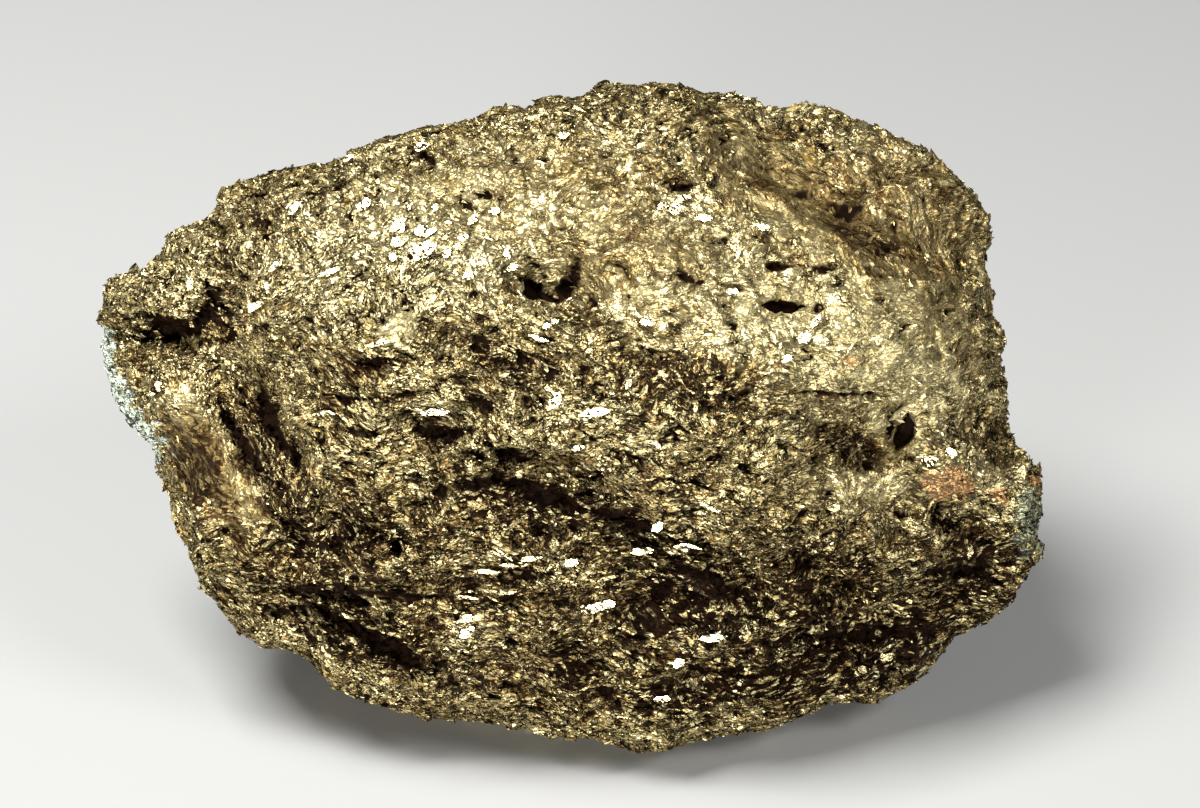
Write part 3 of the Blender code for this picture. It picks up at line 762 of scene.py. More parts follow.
# Flakes are spared in hollows from the first to the second of these depths, in mm, and in slits,
# by these shares. The broad face's side has more of them, by this share.
HOLLOW = (0.15, 0.40)
HOLLOW_SPARED = 0.85
SLIT_SPARED = 0.95
FACE_MORE = 0.5
FRESH_TURN = 0.5  # how far a fresh flake turns its face to where the ore cleaves
LEAST_FACING = 0.90  # how much of a flake's facing stays along the lump's own normal
STRAY = 0.30  # how far a flake's length strays from the layers
SIZE_STRAY = 0.38  # how far its size strays from the usual, as a power of e
SIZES = (0.45, 2.6)  # its least and most size, as shares of the usual
CORNER_STRAY = 0.3  # how far a corner strays round the flake, as a share of the space between two
CORNER_REACH = (0.72, 1.12)  # how far a corner lies from the middle, as shares of half the size
ROOT_DEPTH = 0.55  # how deep the root is sunk, as a share of the size
TIP_SUNK = 0.5  # how deep its face counts as lying, as a share of the lump's depth there
FRESH_CLEARER = 0.5  # how much less a fresh flake is crazed, and one on an even break
SMOOTH_CLEARER = 0.4
OFF_FLOOR = 0.05 * MM  # the least height of a flake's corner


class Cut(NamedTuple):
    """How one kind of flake is cut and set.

    Its length is in metres, and narrow is its least and most width as shares of that. It tilts
    its own way by tilt and with its block by shared_tilt. uneven and stand are how far its
    corners stray from flat and how far it stands out, as shares of its size. crazed is how much
    its face is crazed, at least and at most, spared the share that an even break goes without,
    and glint how far it turns to where the ore cleaves.
    """

    count: int
    corners: int
    length: float
    narrow: tuple
    tilt: float
    shared_tilt: float
    uneven: float
    stand: float
    crazed: tuple
    spared: float
    glint: float = 0.0


def flakes(context, name, read, cut, seed):
    """Thin angular flakes, each a flat face on a wedge that is sunk in the lump.

    They lie along the layers and lean together with their block. Few lie down in the hollows.
    """
    count, corners = cut.count, cut.corners
    draw = np.random.default_rng(seed)
    ends = read.places[read.triangles]
    area = np.linalg.norm(np.cross(ends[:, 1] - ends[:, 0], ends[:, 2] - ends[:, 0]), axis=1)
    sunk = read.sunk_fine[read.triangles].mean(axis=1)
    weight = area * (1.0 - HOLLOW_SPARED * stepped(sunk, *HOLLOW))
    slit, smooth = (read.tones[name][read.triangles].mean(axis=1) for name in ("slit", "smooth"))
    weight *= (1.0 - SLIT_SPARED * slit) * (1.0 - cut.spared * smooth)
    weight *= 1.0 + FACE_MORE * on_face(ends.mean(axis=1))[2]
    weight[ends[:, :, 2].min(axis=1) < FLAT_FOOT] = 0.0
    picked = read.triangles[draw.choice(len(area), count, p=weight / weight.sum())]
    share = draw.dirichlet((1.0, 1.0, 1.0), count)
    middle = (read.places[picked] * share[:, :, None]).sum(axis=1)
    normal = unit(read.normals[picked].mean(axis=1))
    shared = 2.0 * cut.shared_tilt * read.turns[picked[:, 0]]
    lean = shared + cut.tilt * draw.normal(size=(count, 3))
    tones = {name: value[picked].mean(axis=1) for name, value in read.tones.items()}
    to_light = (FRESH_TURN * tones["fresh"] + cut.glint)[:, None] * np.array(CLEAVAGE)
    facing = unit(normal + lean + to_light)
    # A flake doesn't turn its face away from the lump's own by much, nor into the lump.
    inward = np.minimum((facing * normal).sum(axis=1) - LEAST_FACING, 0.0)[:, None]
    facing = unit(facing - normal * inward)

    along = unit(np.cross(layer_normals(middle) + STRAY * draw.normal(size=(count, 3)), facing))
    over = np.cross(facing, along)
    size = cut.length * np.exp(SIZE_STRAY * draw.normal(size=count)).clip(*SIZES)
    narrow = draw.uniform(*cut.narrow, count)
    shift = draw.uniform(-CORNER_STRAY, CORNER_STRAY, (count, corners))
    spread = (np.arange(corners) + shift) / corners
    reach = draw.uniform(*CORNER_REACH, (count, corners)) * size[:, None] / 2.0
    x = reach * np.cos(math.tau * spread)
    y = reach * np.sin(math.tau * spread) * narrow[:, None]
    z = cut.uneven * size[:, None] * draw.normal(size=(count, corners))
    z += cut.stand * size[:, None]
    top = (middle[:, None] + along[:, None] * x[:, :, None] + over[:, None] * y[:, :, None]
           + facing[:, None] * z[:, :, None])
    root = middle - normal * (ROOT_DEPTH * size)[:, None]
    wedges(context, name, np.concatenate((top, root[:, None]), axis=1), {
        "sunk_fine": read.sunk_fine[picked].mean(axis=1) * TIP_SUNK,
        "sunk_broad": read.sunk_broad[picked].mean(axis=1),
        "tone": draw.random(count) * (1.0 - min(cut.glint, 1.0)),
        "crazed": draw.uniform(*cut.crazed, count) * (1.0 - FRESH_CLEARER * tones["fresh"])
        * (1.0 - SMOOTH_CLEARER * tones["smooth"]),
        **tones})


def wedges(context, name, points, values):
    """A piece of many flakes. Each row of points holds one flake's corners and then its root."""
    count, each, _ = points.shape
    points[:, :, 2] = points[:, :, 2].clip(OFF_FLOOR)
    corners = each - 1
    first = np.arange(count)[:, None, None] * each
    lid = [(0, k, k + 1) for k in range(1, corners - 1)]
    sides = [((k + 1) % corners, k, corners) for k in range(corners)]
    faces = (first + np.array(lid + sides)[None]).reshape(-1, 3)
    mesh = bpy.data.meshes.new(name)
    mesh.from_pydata(points.reshape(-1, 3), [], faces)
    piece = placed(context, name, mesh)
    for key, value in values.items():
        spread = np.repeat(value, each)
        if key == "sunk_fine":
            spread[corners::each] = ROOT_SUNK
        store(mesh, key, spread)
    finished(context, piece)


class Cleaved(NamedTuple):
    """A bright cleaved plate: its middle on the broad face, its length and width, and its turn.

    They are in mm, and the turn is in degrees.
    """

    across: float
    up: float
    length: float
    width: float
    turn: float
    glint: float = 0.96  # how far it turns from the lump's own surface to mirror a light


# The plates that catch the light most.
CLEAVED = (
    # High on the left.
    Cleaved(-19.0, 20.7, 2.2, 1.6, 80.0), Cleaved(-15.8, 19.8, 2.2, 1.5, -15.0),
    Cleaved(-18.3, 18.6, 1.6, 1.2, 10.0), Cleaved(-16.3, 17.6, 3.0, 1.9, 25.0),
    Cleaved(-19.2, 17.3, 1.1, 1.0, 0.0), Cleaved(-13.7, 17.7, 1.0, 0.8, 60.0),
    Cleaved(-11.2, 15.4, 1.4, 1.0, 20.0), Cleaved(-10.9, 20.8, 1.3, 0.9, 50.0),
    Cleaved(-11.8, 19.1, 1.1, 0.9, 0.0), Cleaved(-22.4, 22.9, 1.8, 1.2, 60.0),
    Cleaved(-14.4, 22.6, 0.9, 0.7, 90.0), Cleaved(-18.0, 22.6, 0.9, 0.7, 90.0),
    Cleaved(-29.6, 22.4, 2.0, 0.8, 60.0), Cleaved(-31.6, 16.1, 1.9, 0.8, 40.0),
    Cleaved(-25.6, 15.4, 2.4, 0.7, 20.0), Cleaved(-16.8, 28.3, 1.6, 1.0, 20.0),
    Cleaved(-23.7, 27.3, 1.4, 0.6, 30.0), Cleaved(-8.6, 22.0, 1.2, 0.9, 0.0),
    Cleaved(-6.5, 17.3, 1.6, 1.0, 70.0), Cleaved(-6.0, 15.9, 1.2, 0.8, 20.0),
    Cleaved(-44.0, 3.4, 1.8, 1.1, 60.0), Cleaved(-33.8, 12.0, 1.8, 0.9, 30.0),
    # High in the middle and on the right.
    Cleaved(-2.1, 10.0, 2.0, 0.7, 30.0), Cleaved(-1.4, 30.2, 1.3, 0.9, 0.0),
    Cleaved(7.4, 9.3, 1.3, 0.9, 0.0), Cleaved(5.8, 3.7, 1.5, 0.6, 80.0),
    Cleaved(9.6, 22.9, 1.4, 0.9, 40.0), Cleaved(10.9, 22.2, 1.9, 1.3, 10.0),
    Cleaved(12.2, 23.2, 1.1, 0.8, -20.0), Cleaved(14.3, 21.5, 2.0, 0.8, -20.0),
    Cleaved(20.8, 20.1, 1.4, 0.7, -20.0), Cleaved(17.6, 12.9, 1.2, 0.7, 0.0),
    Cleaved(24.3, 8.8, 1.6, 1.2, 60.0), Cleaved(26.4, 9.9, 1.6, 0.7, 70.0),
    Cleaved(23.1, 5.7, 1.2, 0.8, 30.0), Cleaved(38.0, -4.4, 1.8, 1.1, 20.0),
    Cleaved(40.6, -4.0, 1.4, 1.0, -30.0), Cleaved(33.5, -25.6, 1.6, 1.0, 10.0, 0.8),
    Cleaved(31.1, -27.2, 1.9, 1.0, 15.0, 0.8),
    # Across the middle and below the great ledge.
    Cleaved(-2.5, 1.6, 1.9, 1.1, 60.0), Cleaved(1.9, -0.2, 3.0, 0.9, 12.0),
    Cleaved(-15.0, 0.5, 3.2, 0.7, 5.0), Cleaved(1.2, -3.4, 1.4, 0.5, 12.0),
    Cleaved(7.6, -14.4, 2.8, 0.8, 4.0), Cleaved(12.1, -14.4, 2.8, 0.9, -5.0),
    Cleaved(2.3, -19.7, 3.9, 1.0, 18.0), Cleaved(-0.9, -15.6, 2.0, 0.8, 10.0),
    Cleaved(9.1, -12.4, 1.4, 1.0, 40.0), Cleaved(-12.0, -21.4, 1.5, 0.9, 10.0),
    Cleaved(-11.4, -23.2, 1.8, 1.0, 30.0), Cleaved(14.6, -23.9, 3.0, 0.8, 8.0),
    Cleaved(11.0, -26.5, 1.3, 1.0, 40.0), Cleaved(10.0, -30.8, 1.8, 0.7, 10.0),
    # The edges of long thin ledges.
    Cleaved(-8.6, -16.3, 2.6, 0.5, -3.0, 0.5), Cleaved(-6.4, -16.1, 2.8, 0.5, 3.0, 0.5),
    Cleaved(-4.4, -15.8, 2.4, 0.5, 8.0, 0.55), Cleaved(-11.6, -18.8, 2.4, 0.35, -4.0, 0.6),
    Cleaved(-9.4, -18.8, 2.6, 0.4, 0.0, 0.65), Cleaved(-7.2, -18.5, 2.4, 0.35, 6.0, 0.6),
    Cleaved(3.6, -17.9, 2.6, 0.4, 14.0, 0.5), Cleaved(5.8, -17.3, 2.4, 0.4, 10.0, 0.5),
    Cleaved(-26.0, 0.2, 2.6, 0.5, 4.0, 0.6), Cleaved(-20.5, 7.4, 3.0, 0.5, 16.0, 0.6),
    Cleaved(-3.4, 7.6, 2.4, 0.5, -16.0, 0.6), Cleaved(14.0, -9.6, 2.6, 0.4, -22.0, 0.6),
)
PLATE_PROUD = 0.45  # how far a cleaved plate stands out, in mm
PLATE_CORNERS = 6
PLATE_POINTS = 12  # how many of the lump's points it takes its place and facing from
PLATE_REACH = (0.95, 1.20)  # how far a corner lies from the middle, as shares of half its sizes
PLATE_ROOT = 0.7  # how deep the root is sunk, as a share of the length
PLATE_CRAZED = 0.08
PLATE_SEED = 21
FACES_OUT = 0.2  # a plate lies only where the lump's normal faces out by more than this share
FAR_OFF = 1e6  # added to the square of the other points' distance, in mm, to rule them out


def cleaved_plates(context, read, lights):
    """Sets the large bright plates where they belong, each turned to mirror the nearer light."""
    across, up, out = faced(read.places).T
    draw = np.random.default_rng(PLATE_SEED)
    mirrors = [(OUT + light.normalized()).normalized() for light in lights]
    behind = np.where(read.normals @ np.array(OUT) > FACES_OUT, 0.0, FAR_OFF)
    rows = []
    for plate in CLEAVED:
        away = (across - plate.across) ** 2 + (up - plate.up) ** 2 + behind
        near = np.argsort(away)[:PLATE_POINTS]
        normal = Vector(read.normals[near].mean(axis=0)).normalized()
        mirror = max(mirrors, key=normal.dot)
        facing = normal.lerp(mirror, plate.glint).normalized()
        turn = math.radians(plate.turn)
        along = ACROSS * math.cos(turn) + UP * math.sin(turn)
        along = (along - facing * along.dot(facing)).normalized()
        over = facing.cross(along)
        top = near[np.argmax(out[near])]
        middle = Vector(read.places[top]) + normal * PLATE_PROUD * MM
        shift = draw.uniform(-CORNER_STRAY, CORNER_STRAY, PLATE_CORNERS)
        spread = (np.arange(PLATE_CORNERS) + shift) / PLATE_CORNERS * math.tau
        reach = draw.uniform(*PLATE_REACH, PLATE_CORNERS) * MM / 2.0
        ends = [middle + along * r * plate.length * math.cos(a)
                + over * r * plate.width * math.sin(a) for r, a in zip(reach, spread)]
        rows.append([*ends, middle - normal * plate.length * PLATE_ROOT * MM])
    none = np.zeros(len(rows))
    wedges(context, "cleaved_plates", np.array(rows), {
        **{key: none for key in (*SUNK, "tone", *TONES)}, "crazed": none + PLATE_CRAZED})


class CHALCOPYRITE_OT_make_flakes(bpy.types.Operator):
    """Covers the lump with fine and coarse flakes"""

    bl_idname = "chalcopyrite.make_flakes"
    bl_label = "Flakes"

    def execute(self, context):
        settings = context.scene.chalcopyrite_flakes
        read = surface_of(bpy.data.objects[LUMP])
        fine = Cut(settings.fine_count, 4, settings.fine_length, narrow=(0.18, 0.50), tilt=0.14,
                   shared_tilt=0.36, uneven=0.06, stand=0.05, crazed=(0.5, 1.0), spared=0.7)
        coarse = Cut(settings.coarse_count, 5, settings.coarse_length, narrow=(0.28, 0.6),
                     tilt=0.08, shared_tilt=0.30, uneven=0.02, stand=0.04, crazed=(0.5, 1.0),
                     spared=0.95)
        bright = Cut(settings.bright_count, 5, settings.bright_length, narrow=(0.14, 0.32),
                     tilt=0.10, shared_tilt=0.10, uneven=0.03, stand=0.16, crazed=(0.15, 0.5),
                     spared=0.6, glint=1.0)
        for name, cut, seed in (("fine_flakes", fine, 11), ("fine_flakes_between", fine, 12),
                                ("coarse_flakes", coarse, 13), ("bright_flakes", bright, 14)):
            flakes(context, name, read, cut, seed)
        cleaved_plates(context, read, [Vector(box.place) for box in SOFTBOXES[:2]])
        return {"FINISHED"}


# ---------------------------------------------------------------------------
# The ore
# ---------------------------------------------------------------------------


class FinishSettings(bpy.types.PropertyGroup):
    """Colours and polish of the ore."""

    fresh: bpy.props.FloatVectorProperty(
        name="Fresh ore", description="Brassy yellow of a fresh break",
        default=linear("#E9DAA3"), subtype="COLOR", size=3, min=0.0, max=1.0)
    tarnished: bpy.props.FloatVectorProperty(
        name="Tarnished ore", description="Olive bronze of a surface that has dulled",
        default=linear("#AE9862"), subtype="COLOR", size=3, min=0.0, max=1.0)
    bronze: bpy.props.FloatVectorProperty(
        name="Bronze tarnish", description="Warm bronze of the spots that have dulled more",
        default=linear("#8C602C"), subtype="COLOR", size=3, min=0.0, max=1.0)
    brown: bpy.props.FloatVectorProperty(
        name="Brown film", description="Brown film on the flakes that have dulled most",
        default=linear("#4E3414"), subtype="COLOR", size=3, min=0.0, max=1.0)
    # The crack's brown black is also the colour of the painted shade under the ledges, in the
    # hollows and in the slits.
    crack: bpy.props.FloatVectorProperty(
        name="Crack", description="Brown black of the dirt down in the cracks",
        default=linear("#1A0E06"), subtype="COLOR", size=3, min=0.0, max=1.0)
    rust: bpy.props.FloatVectorProperty(
        name="Rust", description="Orange stain of iron rust",
        default=linear("#CE8028"), subtype="COLOR", size=3, min=0.0, max=1.0)
    yellow: bpy.props.FloatVectorProperty(
        name="Yellow stain", description="Yellow stain of the freshest rust",
        default=linear("#C9A227"), subtype="COLOR", size=3, min=0.0, max=1.0)
    green: bpy.props.FloatVectorProperty(
        name="Green bloom", description="Green bloom of weathered copper",
        default=linear("#6F9A86"), subtype="COLOR", size=3, min=0.0, max=1.0)
    # A pale whitish green laid along the left end's rim.
    pale: bpy.props.FloatVectorProperty(
        name="Pale rim", description="Pale film on the worn left end",
        default=linear("#DCECD6"), subtype="COLOR", size=3, min=0.0, max=1.0)
    polish: bpy.props.FloatProperty(
        name="Polish", description="Roughness of a clean flake", default=0.42, min=0.0, max=1.0)


# The ore's face is crazed into curls and, on them, scales, which are small mirrors: their width
# in mm, and how far they turn. The scales are drawn up to twice their real width, so that they
# show.
CURLS = (0.85, 0.45)
SCALES = (0.23, 0.35)

PATCHES = {"Scale": 1.0 / 6.0, "Detail": 5.0, "Roughness": 0.62}  # tarnish in patches of 6 mm
SPOTS = {"Scale": 1.0 / 1.25, "Detail": 4.0, "Roughness": 0.7}  # and in spots of a millimetre
CLEAN_CURLS = (0.30, 0.42)  # a curl whose random value is under these stays clean
EVENED = 0.7  # how far an even break's curls and flakes are alike in tone and soiling
EVEN_TONE = 0.50
EVEN_SOILED = 0.65

# How much each value counts in a sum: a flake's and its curl's tones in its own, then dullness,
# which is painted shade, freshness, which is partly painted highlight, and the patches in how worn
# a place is, the scale's tone in the brown film, dullness in the bronze, dullness, spots and own
# tone in the painted shade under the ledges, and a fine and a broad hollow's depth.
OWN = (0.5, 0.5)
WORN = (0.8, -0.35, 0.6)
FILM = (1.0, 0.3)
WARM = (1.0, 0.30)
SHELTER = (1.0, 0.5, 0.8)
DEPTH = (1.0, 0.03)
BOTH = (1.0, 1.0)

# Each film and stain lies on the ore from the first of these values to the second, where it is
# fullest. How far it then hides what is under it comes after them.
TARNISHED = (0.2, 0.9)
FILMED = (0.95, 1.25, 0.0, 0.9)
WARMED = (0.10, 0.45, 0.0, 0.45)
STAINED = (0.5, 0.85, 0.0)
STAINS = {"rust": 0.6, "yellow": 0.45, "green": 0.5, "pale": 0.9}
TARNISH_METALLIC = 0.94  # tarnish is a little less metallic than the bare ore

# So do the painted shade under the ledges, the dirt and painted shade in hollows of these depths
# in mm, and the dirt in the folds between curls.
SHELTERED = (0.94, 1.24, 0.0, 0.9)
SUNK_DIRT_AND_SHADE = (0.10, 0.32)
FOLD = (0.15, 0.05, 0.0, 0.8)
FOLDED = (0.35, 0.55)  # a curl whose random value is over these has a fold round it
DIRT_ROUGHNESS = 0.7

# How far apart the fine cracks lie, in mm, in the curls' waves and twice in the scales'. They
# are drawn a tenth of a millimetre wide, a few times their real width, so that they show.
CURL_CRACKS = 1.5
SCALE_CRACKS = (2.4, 0.9)
FINE_WIDTH = (0.024, 0.016)
FINE_NOISE = {"Detail": 3.0, "Roughness": 0.62, "Distortion": 0.5}
DULL_WIDER = 0.025  # how much further from their noise's middle they reach where the ore is dull, which darkens its painted shade
CRACK_DARK = 0.97
EVEN_CLOSED = 0.6  # how much of them is closed where the break is even

TOWARD = (0.20, 0.30)  # how far fresh ore, and a clean curl in a dull place, turn to cleave
DULLER = 0.20  # how much rougher the most tarnished face is than a clean one
MOST_WORN = 1.6  # the value of the most tarnished face
TRUE_MIRROR = 0.6  # how rough a plate is beside a crazed face, which begins at CRAZED
CRAZED = 0.25


def weighed(tree, values, weights):
    """The sum of several values, each times its weight."""
    total = 0.0
    for value, weight in zip(values, weights):
        total = add_node(tree, "ShaderNodeMath", (value, weight, total),
                         operation="MULTIPLY_ADD")
    return total


def massive_chalcopyrite(finish):
    """Massive chalcopyrite, broken and left to tarnish: a brassy metal in rough flakes.

    To the eye it is a crinkle of small mirrors, near white where one faces the light, olive
    bronze where it doesn't, and brown black in the cracks. Painted shade darkens it under the
    ledges, low on the face, in the hollows and in the slits, and painted highlight lightens it
    where it is fresh.
    """
    material = bpy.data.materials.new(ORE)
    material.use_nodes = True
    tree = material.node_tree
    shader = tree.nodes["Principled BSDF"]
    stored = {name: add_node(tree, "ShaderNodeAttribute", output="Fac", attribute_name=name)
              for name in (*TONES, *SUNK, "tone", "crazed")}
    coordinates = add_node(tree, "ShaderNodeTexCoord", output="Object")
    place = add_node(tree, "ShaderNodeVectorMath", {0: coordinates, "Scale": 1.0 / MM},
                     operation="SCALE")
    layered = layered_place(tree, place, stored["bend"])
    rough = waved(tree, layered, *SCALE_WAVES)
    curly = waved(tree, layered, *CURL_WAVES)

    # Curls and scales: each cell has its own tone and its own turn.
    curl_cell = {"Vector": flattened(tree, curly, CURL_FLATNESS), "Scale": 1.0 / CURLS[0]}
    scale_cell = {"Vector": rough, "Scale": 1.0 / SCALES[0]}
    curl, scale = (add_node(tree, "ShaderNodeTexVoronoi", cell, "Color")
                   for cell in (curl_cell, scale_cell))
    curl_x, curl_y, curl_z = (add_node(tree, "ShaderNodeSeparateXYZ", (curl,), name)
                              for name in "XYZ")
    scale_y = add_node(tree, "ShaderNodeSeparateXYZ", (scale,), "Y")
    edge = add_node(tree, "ShaderNodeTexVoronoi", curl_cell, "Distance",
                    feature="DISTANCE_TO_EDGE")

    # A third of the curls stay clean, wherever they lie, but an even break is soiled evenly.
    # The rest take their place's tarnish and painted shade.
    even = add_node(tree, "ShaderNodeMath", (stored["smooth"], EVENED), operation="MULTIPLY")
    spotted = add_node(tree, "ShaderNodeMapRange", (curl_z, *CLEAN_CURLS), **SMOOTH)
    soiled = add_node(tree, "ShaderNodeMix", {"Factor": even, "A": spotted, "B": EVEN_SOILED})
    clean = add_node(tree, "ShaderNodeMath", (1.0, soiled), operation="SUBTRACT")
    dulled = add_node(tree, "ShaderNodeMath", (stored["dulled"], soiled), operation="MULTIPLY")

    # Tarnish lies in patches and spots, on some curls and flakes more than on others.
    speckle, spots = (
        add_node(tree, "ShaderNodeMapRange",
                 (add_node(tree, "ShaderNodeTexNoise", {"Vector": layered, **noise}),
                  0.5 - NOISE_REACH, 0.5 + NOISE_REACH, -0.5, 0.5), clamp=False)
        for noise in (PATCHES, SPOTS))
    mixed = weighed(tree, (stored["tone"], curl_y), OWN)
    own = add_node(tree, "ShaderNodeMix", {"Factor": even, "A": mixed, "B": EVEN_TONE})
    # The dull regions' painted shade deepens the tarnish and the fresh regions' painted highlight
    # lightens it, so how worn a place is carries painted shade and highlight as well as tarnish.
    tarnish_shade_and_highlight = weighed(tree, (dulled, stored["fresh"], speckle), WORN)
    worn = weighed(tree, (tarnish_shade_and_highlight, own), BOTH)
    patched_and_shaded = add_node(tree, "ShaderNodeMapRange", (worn, *TARNISHED), **SMOOTH)
    filmed_and_shaded = add_node(tree, "ShaderNodeMapRange",
                      (weighed(tree, (worn, scale_y), FILM), *FILMED), **SMOOTH)
    warmed_and_shaded = add_node(tree, "ShaderNodeMapRange",
                      (weighed(tree, (spots, dulled), WARM), *WARMED), **SMOOTH)
    # These covers carry the painted shade and painted highlight in how worn a place is.
    layers = [(patched_and_shaded, finish.tarnished), (filmed_and_shaded, finish.brown), (warmed_and_shaded, finish.bronze)]
    # Stains cover the bare metal.
    bare = add_node(tree, "ShaderNodeMapRange", (patched_and_shaded, 0.0, 1.0, 1.0, TARNISH_METALLIC))
    for name, share in STAINS.items():
        cover = add_node(tree, "ShaderNodeMapRange",
                         (weighed(tree, (stored[name], spots), BOTH), *STAINED, share),
                         **SMOOTH)
        layers.append((cover, getattr(finish, name)))
        left = add_node(tree, "ShaderNodeMath", (1.0, cover), operation="SUBTRACT")
        bare = add_node(tree, "ShaderNodeMath", (bare, left), operation="MULTIPLY")

    # Painted shade lies under the ledges and in the slits, dirt and painted shade in the hollows,
    # and dirt in every crack.
    painted_shelter_shade = add_node(tree, "ShaderNodeMapRange",
                         (weighed(tree, (dulled, spots, own), SHELTER), *SHELTERED),
                         **SMOOTH)
    depth = weighed(tree, (stored["sunk_fine"], stored["sunk_broad"]), DEPTH)
    hollow = add_node(tree, "ShaderNodeMapRange", (depth, *SUNK_DIRT_AND_SHADE), **SMOOTH)
    fold = add_node(tree, "ShaderNodeMapRange", (edge, *FOLD), **SMOOTH)
    folded = add_node(tree, "ShaderNodeMapRange", (curl_x, *FOLDED), **SMOOTH)
    dark = add_node(tree, "ShaderNodeMath", (fold, folded), operation="MULTIPLY")
    open_share = add_node(tree, "ShaderNodeMath", (even, -EVEN_CLOSED, CRACK_DARK),
                          operation="MULTIPLY_ADD")
    for where, apart in ((curly, CURL_CRACKS), *((rough, apart) for apart in SCALE_CRACKS)):
        lines = wandering_lines(tree, where, apart, FINE_WIDTH, dulled, **FINE_NOISE)
        cracked = add_node(tree, "ShaderNodeMath", (lines, open_share), operation="MULTIPLY")
        dark = add_node(tree, "ShaderNodeMath", (dark, cracked), operation="MAXIMUM")
    # The hollows take dirt and painted shade, the slits painted shade, and the crack lines dirt.
    for more in (crack_lines(tree, layered, stored["smooth"]), hollow, stored["slit"]):
        dark = add_node(tree, "ShaderNodeMath", (dark, more), operation="MAXIMUM")
    layers += [(painted_shelter_shade, finish.crack), (dark, finish.crack)]

    colour = (*finish.fresh, 1.0)
    for share, over in layers:
        colour = add_node(tree, "ShaderNodeMix", {"Factor": share, 6: colour, 7: (*over, 1.0)}, 2,
                          data_type="RGBA")
    tree.links.new(colour, shader.inputs["Base Color"])
    tree.links.new(bare, shader.inputs["Metallic"])

    # Each curl and each scale turns its own way, and the freshest turn to where it cleaves.
    normal = add_node(tree, "ShaderNodeNewGeometry", output="Normal")
    glinting = add_node(tree, "ShaderNodeMath", (stored["dulled"], clean), operation="MULTIPLY")
    toward = weighed(tree, (stored["fresh"], glinting), TOWARD)
    unrolled = add_node(tree, "ShaderNodeMath", (1.0, even), operation="SUBTRACT")
    curl_reach = add_node(tree, "ShaderNodeMath", (unrolled, CURLS[1]), operation="MULTIPLY")
    turns = [(tuple(CLEAVAGE), toward)]
    for cell, reach in ((curl, curl_reach), (scale, SCALES[1])):
        turns.append((
            add_node(tree, "ShaderNodeVectorMath", (cell, HALVES), operation="SUBTRACT"),
            add_node(tree, "ShaderNodeMath", (stored["crazed"], reach), operation="MULTIPLY")))
    for turn, reach in turns:
        by = add_node(tree, "ShaderNodeVectorMath", {0: turn, "Scale": reach}, operation="SCALE")
        normal = add_node(tree, "ShaderNodeVectorMath", (normal, by), operation="ADD")
    normal = add_node(tree, "ShaderNodeVectorMath", (normal,), operation="NORMALIZE")
    tree.links.new(normal, shader.inputs["Normal"])
    matt = add_node(tree, "ShaderNodeMapRange",
                    (worn, 0.0, MOST_WORN, finish.polish, finish.polish + DULLER))
    # A plate that isn't crazed is the truest mirror.
    whole = add_node(tree, "ShaderNodeMapRange",
                     (stored["crazed"], PLATE_CRAZED, CRAZED, TRUE_MIRROR, 1.0))
    clear = add_node(tree, "ShaderNodeMath", (matt, whole), operation="MULTIPLY")
    roughness = add_node(tree, "ShaderNodeMix",
                         {"Factor": dark, "A": clear, "B": DIRT_ROUGHNESS})
    tree.links.new(roughness, shader.inputs["Roughness"])
    return material


def ore_of(context):
    """The one ore material, made when it is first asked for."""
    made = bpy.data.materials.get(ORE)
    return made or massive_chalcopyrite(context.scene.chalcopyrite_finish)


# ---------------------------------------------------------------------------
# The stage
# ---------------------------------------------------------------------------


class StageSettings(bpy.types.PropertyGroup):
    """Floor and light."""

    floor: bpy.props.FloatVectorProperty(
        name="Floor", description="Colour of the floor",
        default=linear("#A6A6A4"), subtype="COLOR", size=3, min=0.0, max=1.0)
    key: bpy.props.FloatProperty(
        name="Key light", description="Power of the softbox at the upper left", default=9.2,
        min=0.0, unit="POWER")
    fill: bpy.props.FloatProperty(
        name="Fill", description="Strength of the light from all round", default=0.06, min=0.0)


class Softbox(NamedTuple):
    """A square softbox that looks at the broad face's middle.

    Its place from there and its side are in metres. Its power is a share of the key light's.
    """

    name: str
    place: tuple
    side: float
    share: float


# The first two are the ones that the cleaved plates mirror.
SOFTBOXES = (
    Softbox("key_softbox", (-0.24, -0.10, 0.62), 0.30, 1.0),
    Softbox("front_softbox", (-0.30, -0.80, 0.08), 0.16, 1.06),
    Softbox("right_softbox", (0.38, -0.30, 0.42), 0.20, 0.22),
)
FLOOR_SIDE = 3.0  # in metres
FLOOR_ROUGHNESS = 0.9
CAMERA_LENS = 120.0  # in mm, as the sensor's width is
CAMERA_SENSOR = 36.0


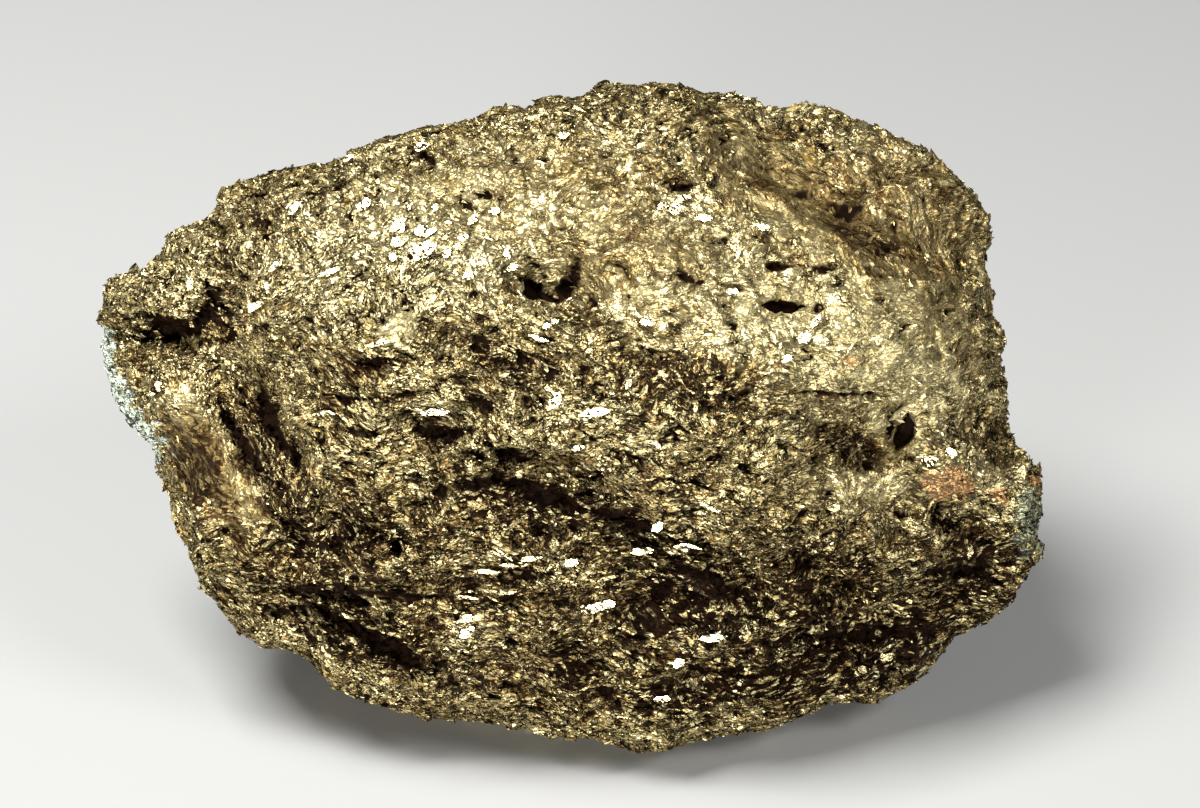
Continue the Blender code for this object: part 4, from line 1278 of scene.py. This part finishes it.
class CHALCOPYRITE_OT_set_stage(bpy.types.Operator):
    """Sets the floor, the studio light and the camera"""

    bl_idname = "chalcopyrite.set_stage"
    bl_label = "Studio Stage"

    def execute(self, context):
        settings = context.scene.chalcopyrite_stage
        half = FLOOR_SIDE / 2.0
        corners = [(-half, -half, 0), (half, -half, 0), (half, half, 0), (-half, half, 0)]
        mesh = bpy.data.meshes.new("floor")
        mesh.from_pydata(corners, [], [(0, 1, 2, 3)])
        floor = placed(context, "floor", mesh)
        material = bpy.data.materials.new("floor_matt_paper")
        material.use_nodes = True
        shader = material.node_tree.nodes["Principled BSDF"]
        shader.inputs["Base Color"].default_value = (*settings.floor, 1.0)
        shader.inputs["Roughness"].default_value = FLOOR_ROUGHNESS
        mesh.materials.append(material)

        for box in SOFTBOXES:
            lamp = bpy.data.lights.new(box.name, "AREA")
            lamp.shape = "SQUARE"
            lamp.size = box.side
            lamp.energy = settings.key * box.share
            piece = placed(context, box.name, lamp)
            piece.visible_camera = False
            piece.location = FACE_MIDDLE + Vector(box.place)
            piece.rotation_euler = Vector(box.place).to_track_quat("Z", "Y").to_euler()

        world = bpy.data.worlds.new("studio")
        world.use_nodes = True
        sky = world.node_tree.nodes["Background"]
        sky.inputs["Color"].default_value = (1.0, 1.0, 1.0, 1.0)
        sky.inputs["Strength"].default_value = settings.fill
        context.scene.world = world

        camera = bpy.data.cameras.new("camera")
        camera.lens = CAMERA_LENS
        camera.sensor_width = CAMERA_SENSOR
        piece = placed(context, "camera", camera)
        aim = FACE_MIDDLE + (ACROSS * SEEN_FROM[0] + UP * SEEN_FROM[1]) * MM
        piece.location = aim + OUT * ARM * MM
        piece.rotation_euler = OUT.to_track_quat("Z", "Y").to_euler()
        context.scene.camera = piece
        context.scene.view_settings.view_transform = "Standard"
        return {"FINISHED"}


class CHALCOPYRITE_PT_specimen(bpy.types.Panel):
    """Lists the pieces of the specimen and their settings"""

    bl_label = "Chalcopyrite"
    bl_idname = "CHALCOPYRITE_PT_specimen"
    bl_space_type = "VIEW_3D"
    bl_region_type = "UI"
    bl_category = "Chalcopyrite"

    def draw(self, context):
        for name, group, operator in PARTS:
            box = self.layout.box()
            settings = getattr(context.scene, name)
            for key in group.__annotations__:
                box.prop(settings, key)
            if operator:
                box.operator(operator.bl_idname)


PARTS = (
    ("chalcopyrite_finish", FinishSettings, None),
    ("chalcopyrite_lump", LumpSettings, CHALCOPYRITE_OT_make_lump),
    ("chalcopyrite_flakes", FlakeSettings, CHALCOPYRITE_OT_make_flakes),
    ("chalcopyrite_stage", StageSettings, CHALCOPYRITE_OT_set_stage),
)
CLASSES = (
    *(group for _, group, _ in PARTS),
    *(operator for _, _, operator in PARTS if operator),
    CHALCOPYRITE_PT_specimen,
)


def register():
    """Registers the classes and puts their settings on the scene."""
    for kind in CLASSES:
        bpy.utils.register_class(kind)
    for name, group, _ in PARTS:
        setattr(bpy.types.Scene, name, bpy.props.PointerProperty(type=group))


def unregister():
    """Takes the settings and the classes away again."""
    for name, _, _ in PARTS:
        delattr(bpy.types.Scene, name)
    for kind in reversed(CLASSES):
        bpy.utils.unregister_class(kind)


def main():
    """Makes the specimen and its stage."""
    register()
    bpy.ops.chalcopyrite.make_lump()
    bpy.ops.chalcopyrite.make_flakes()
    bpy.ops.chalcopyrite.set_stage()


if __name__ == "__main__":
    main()
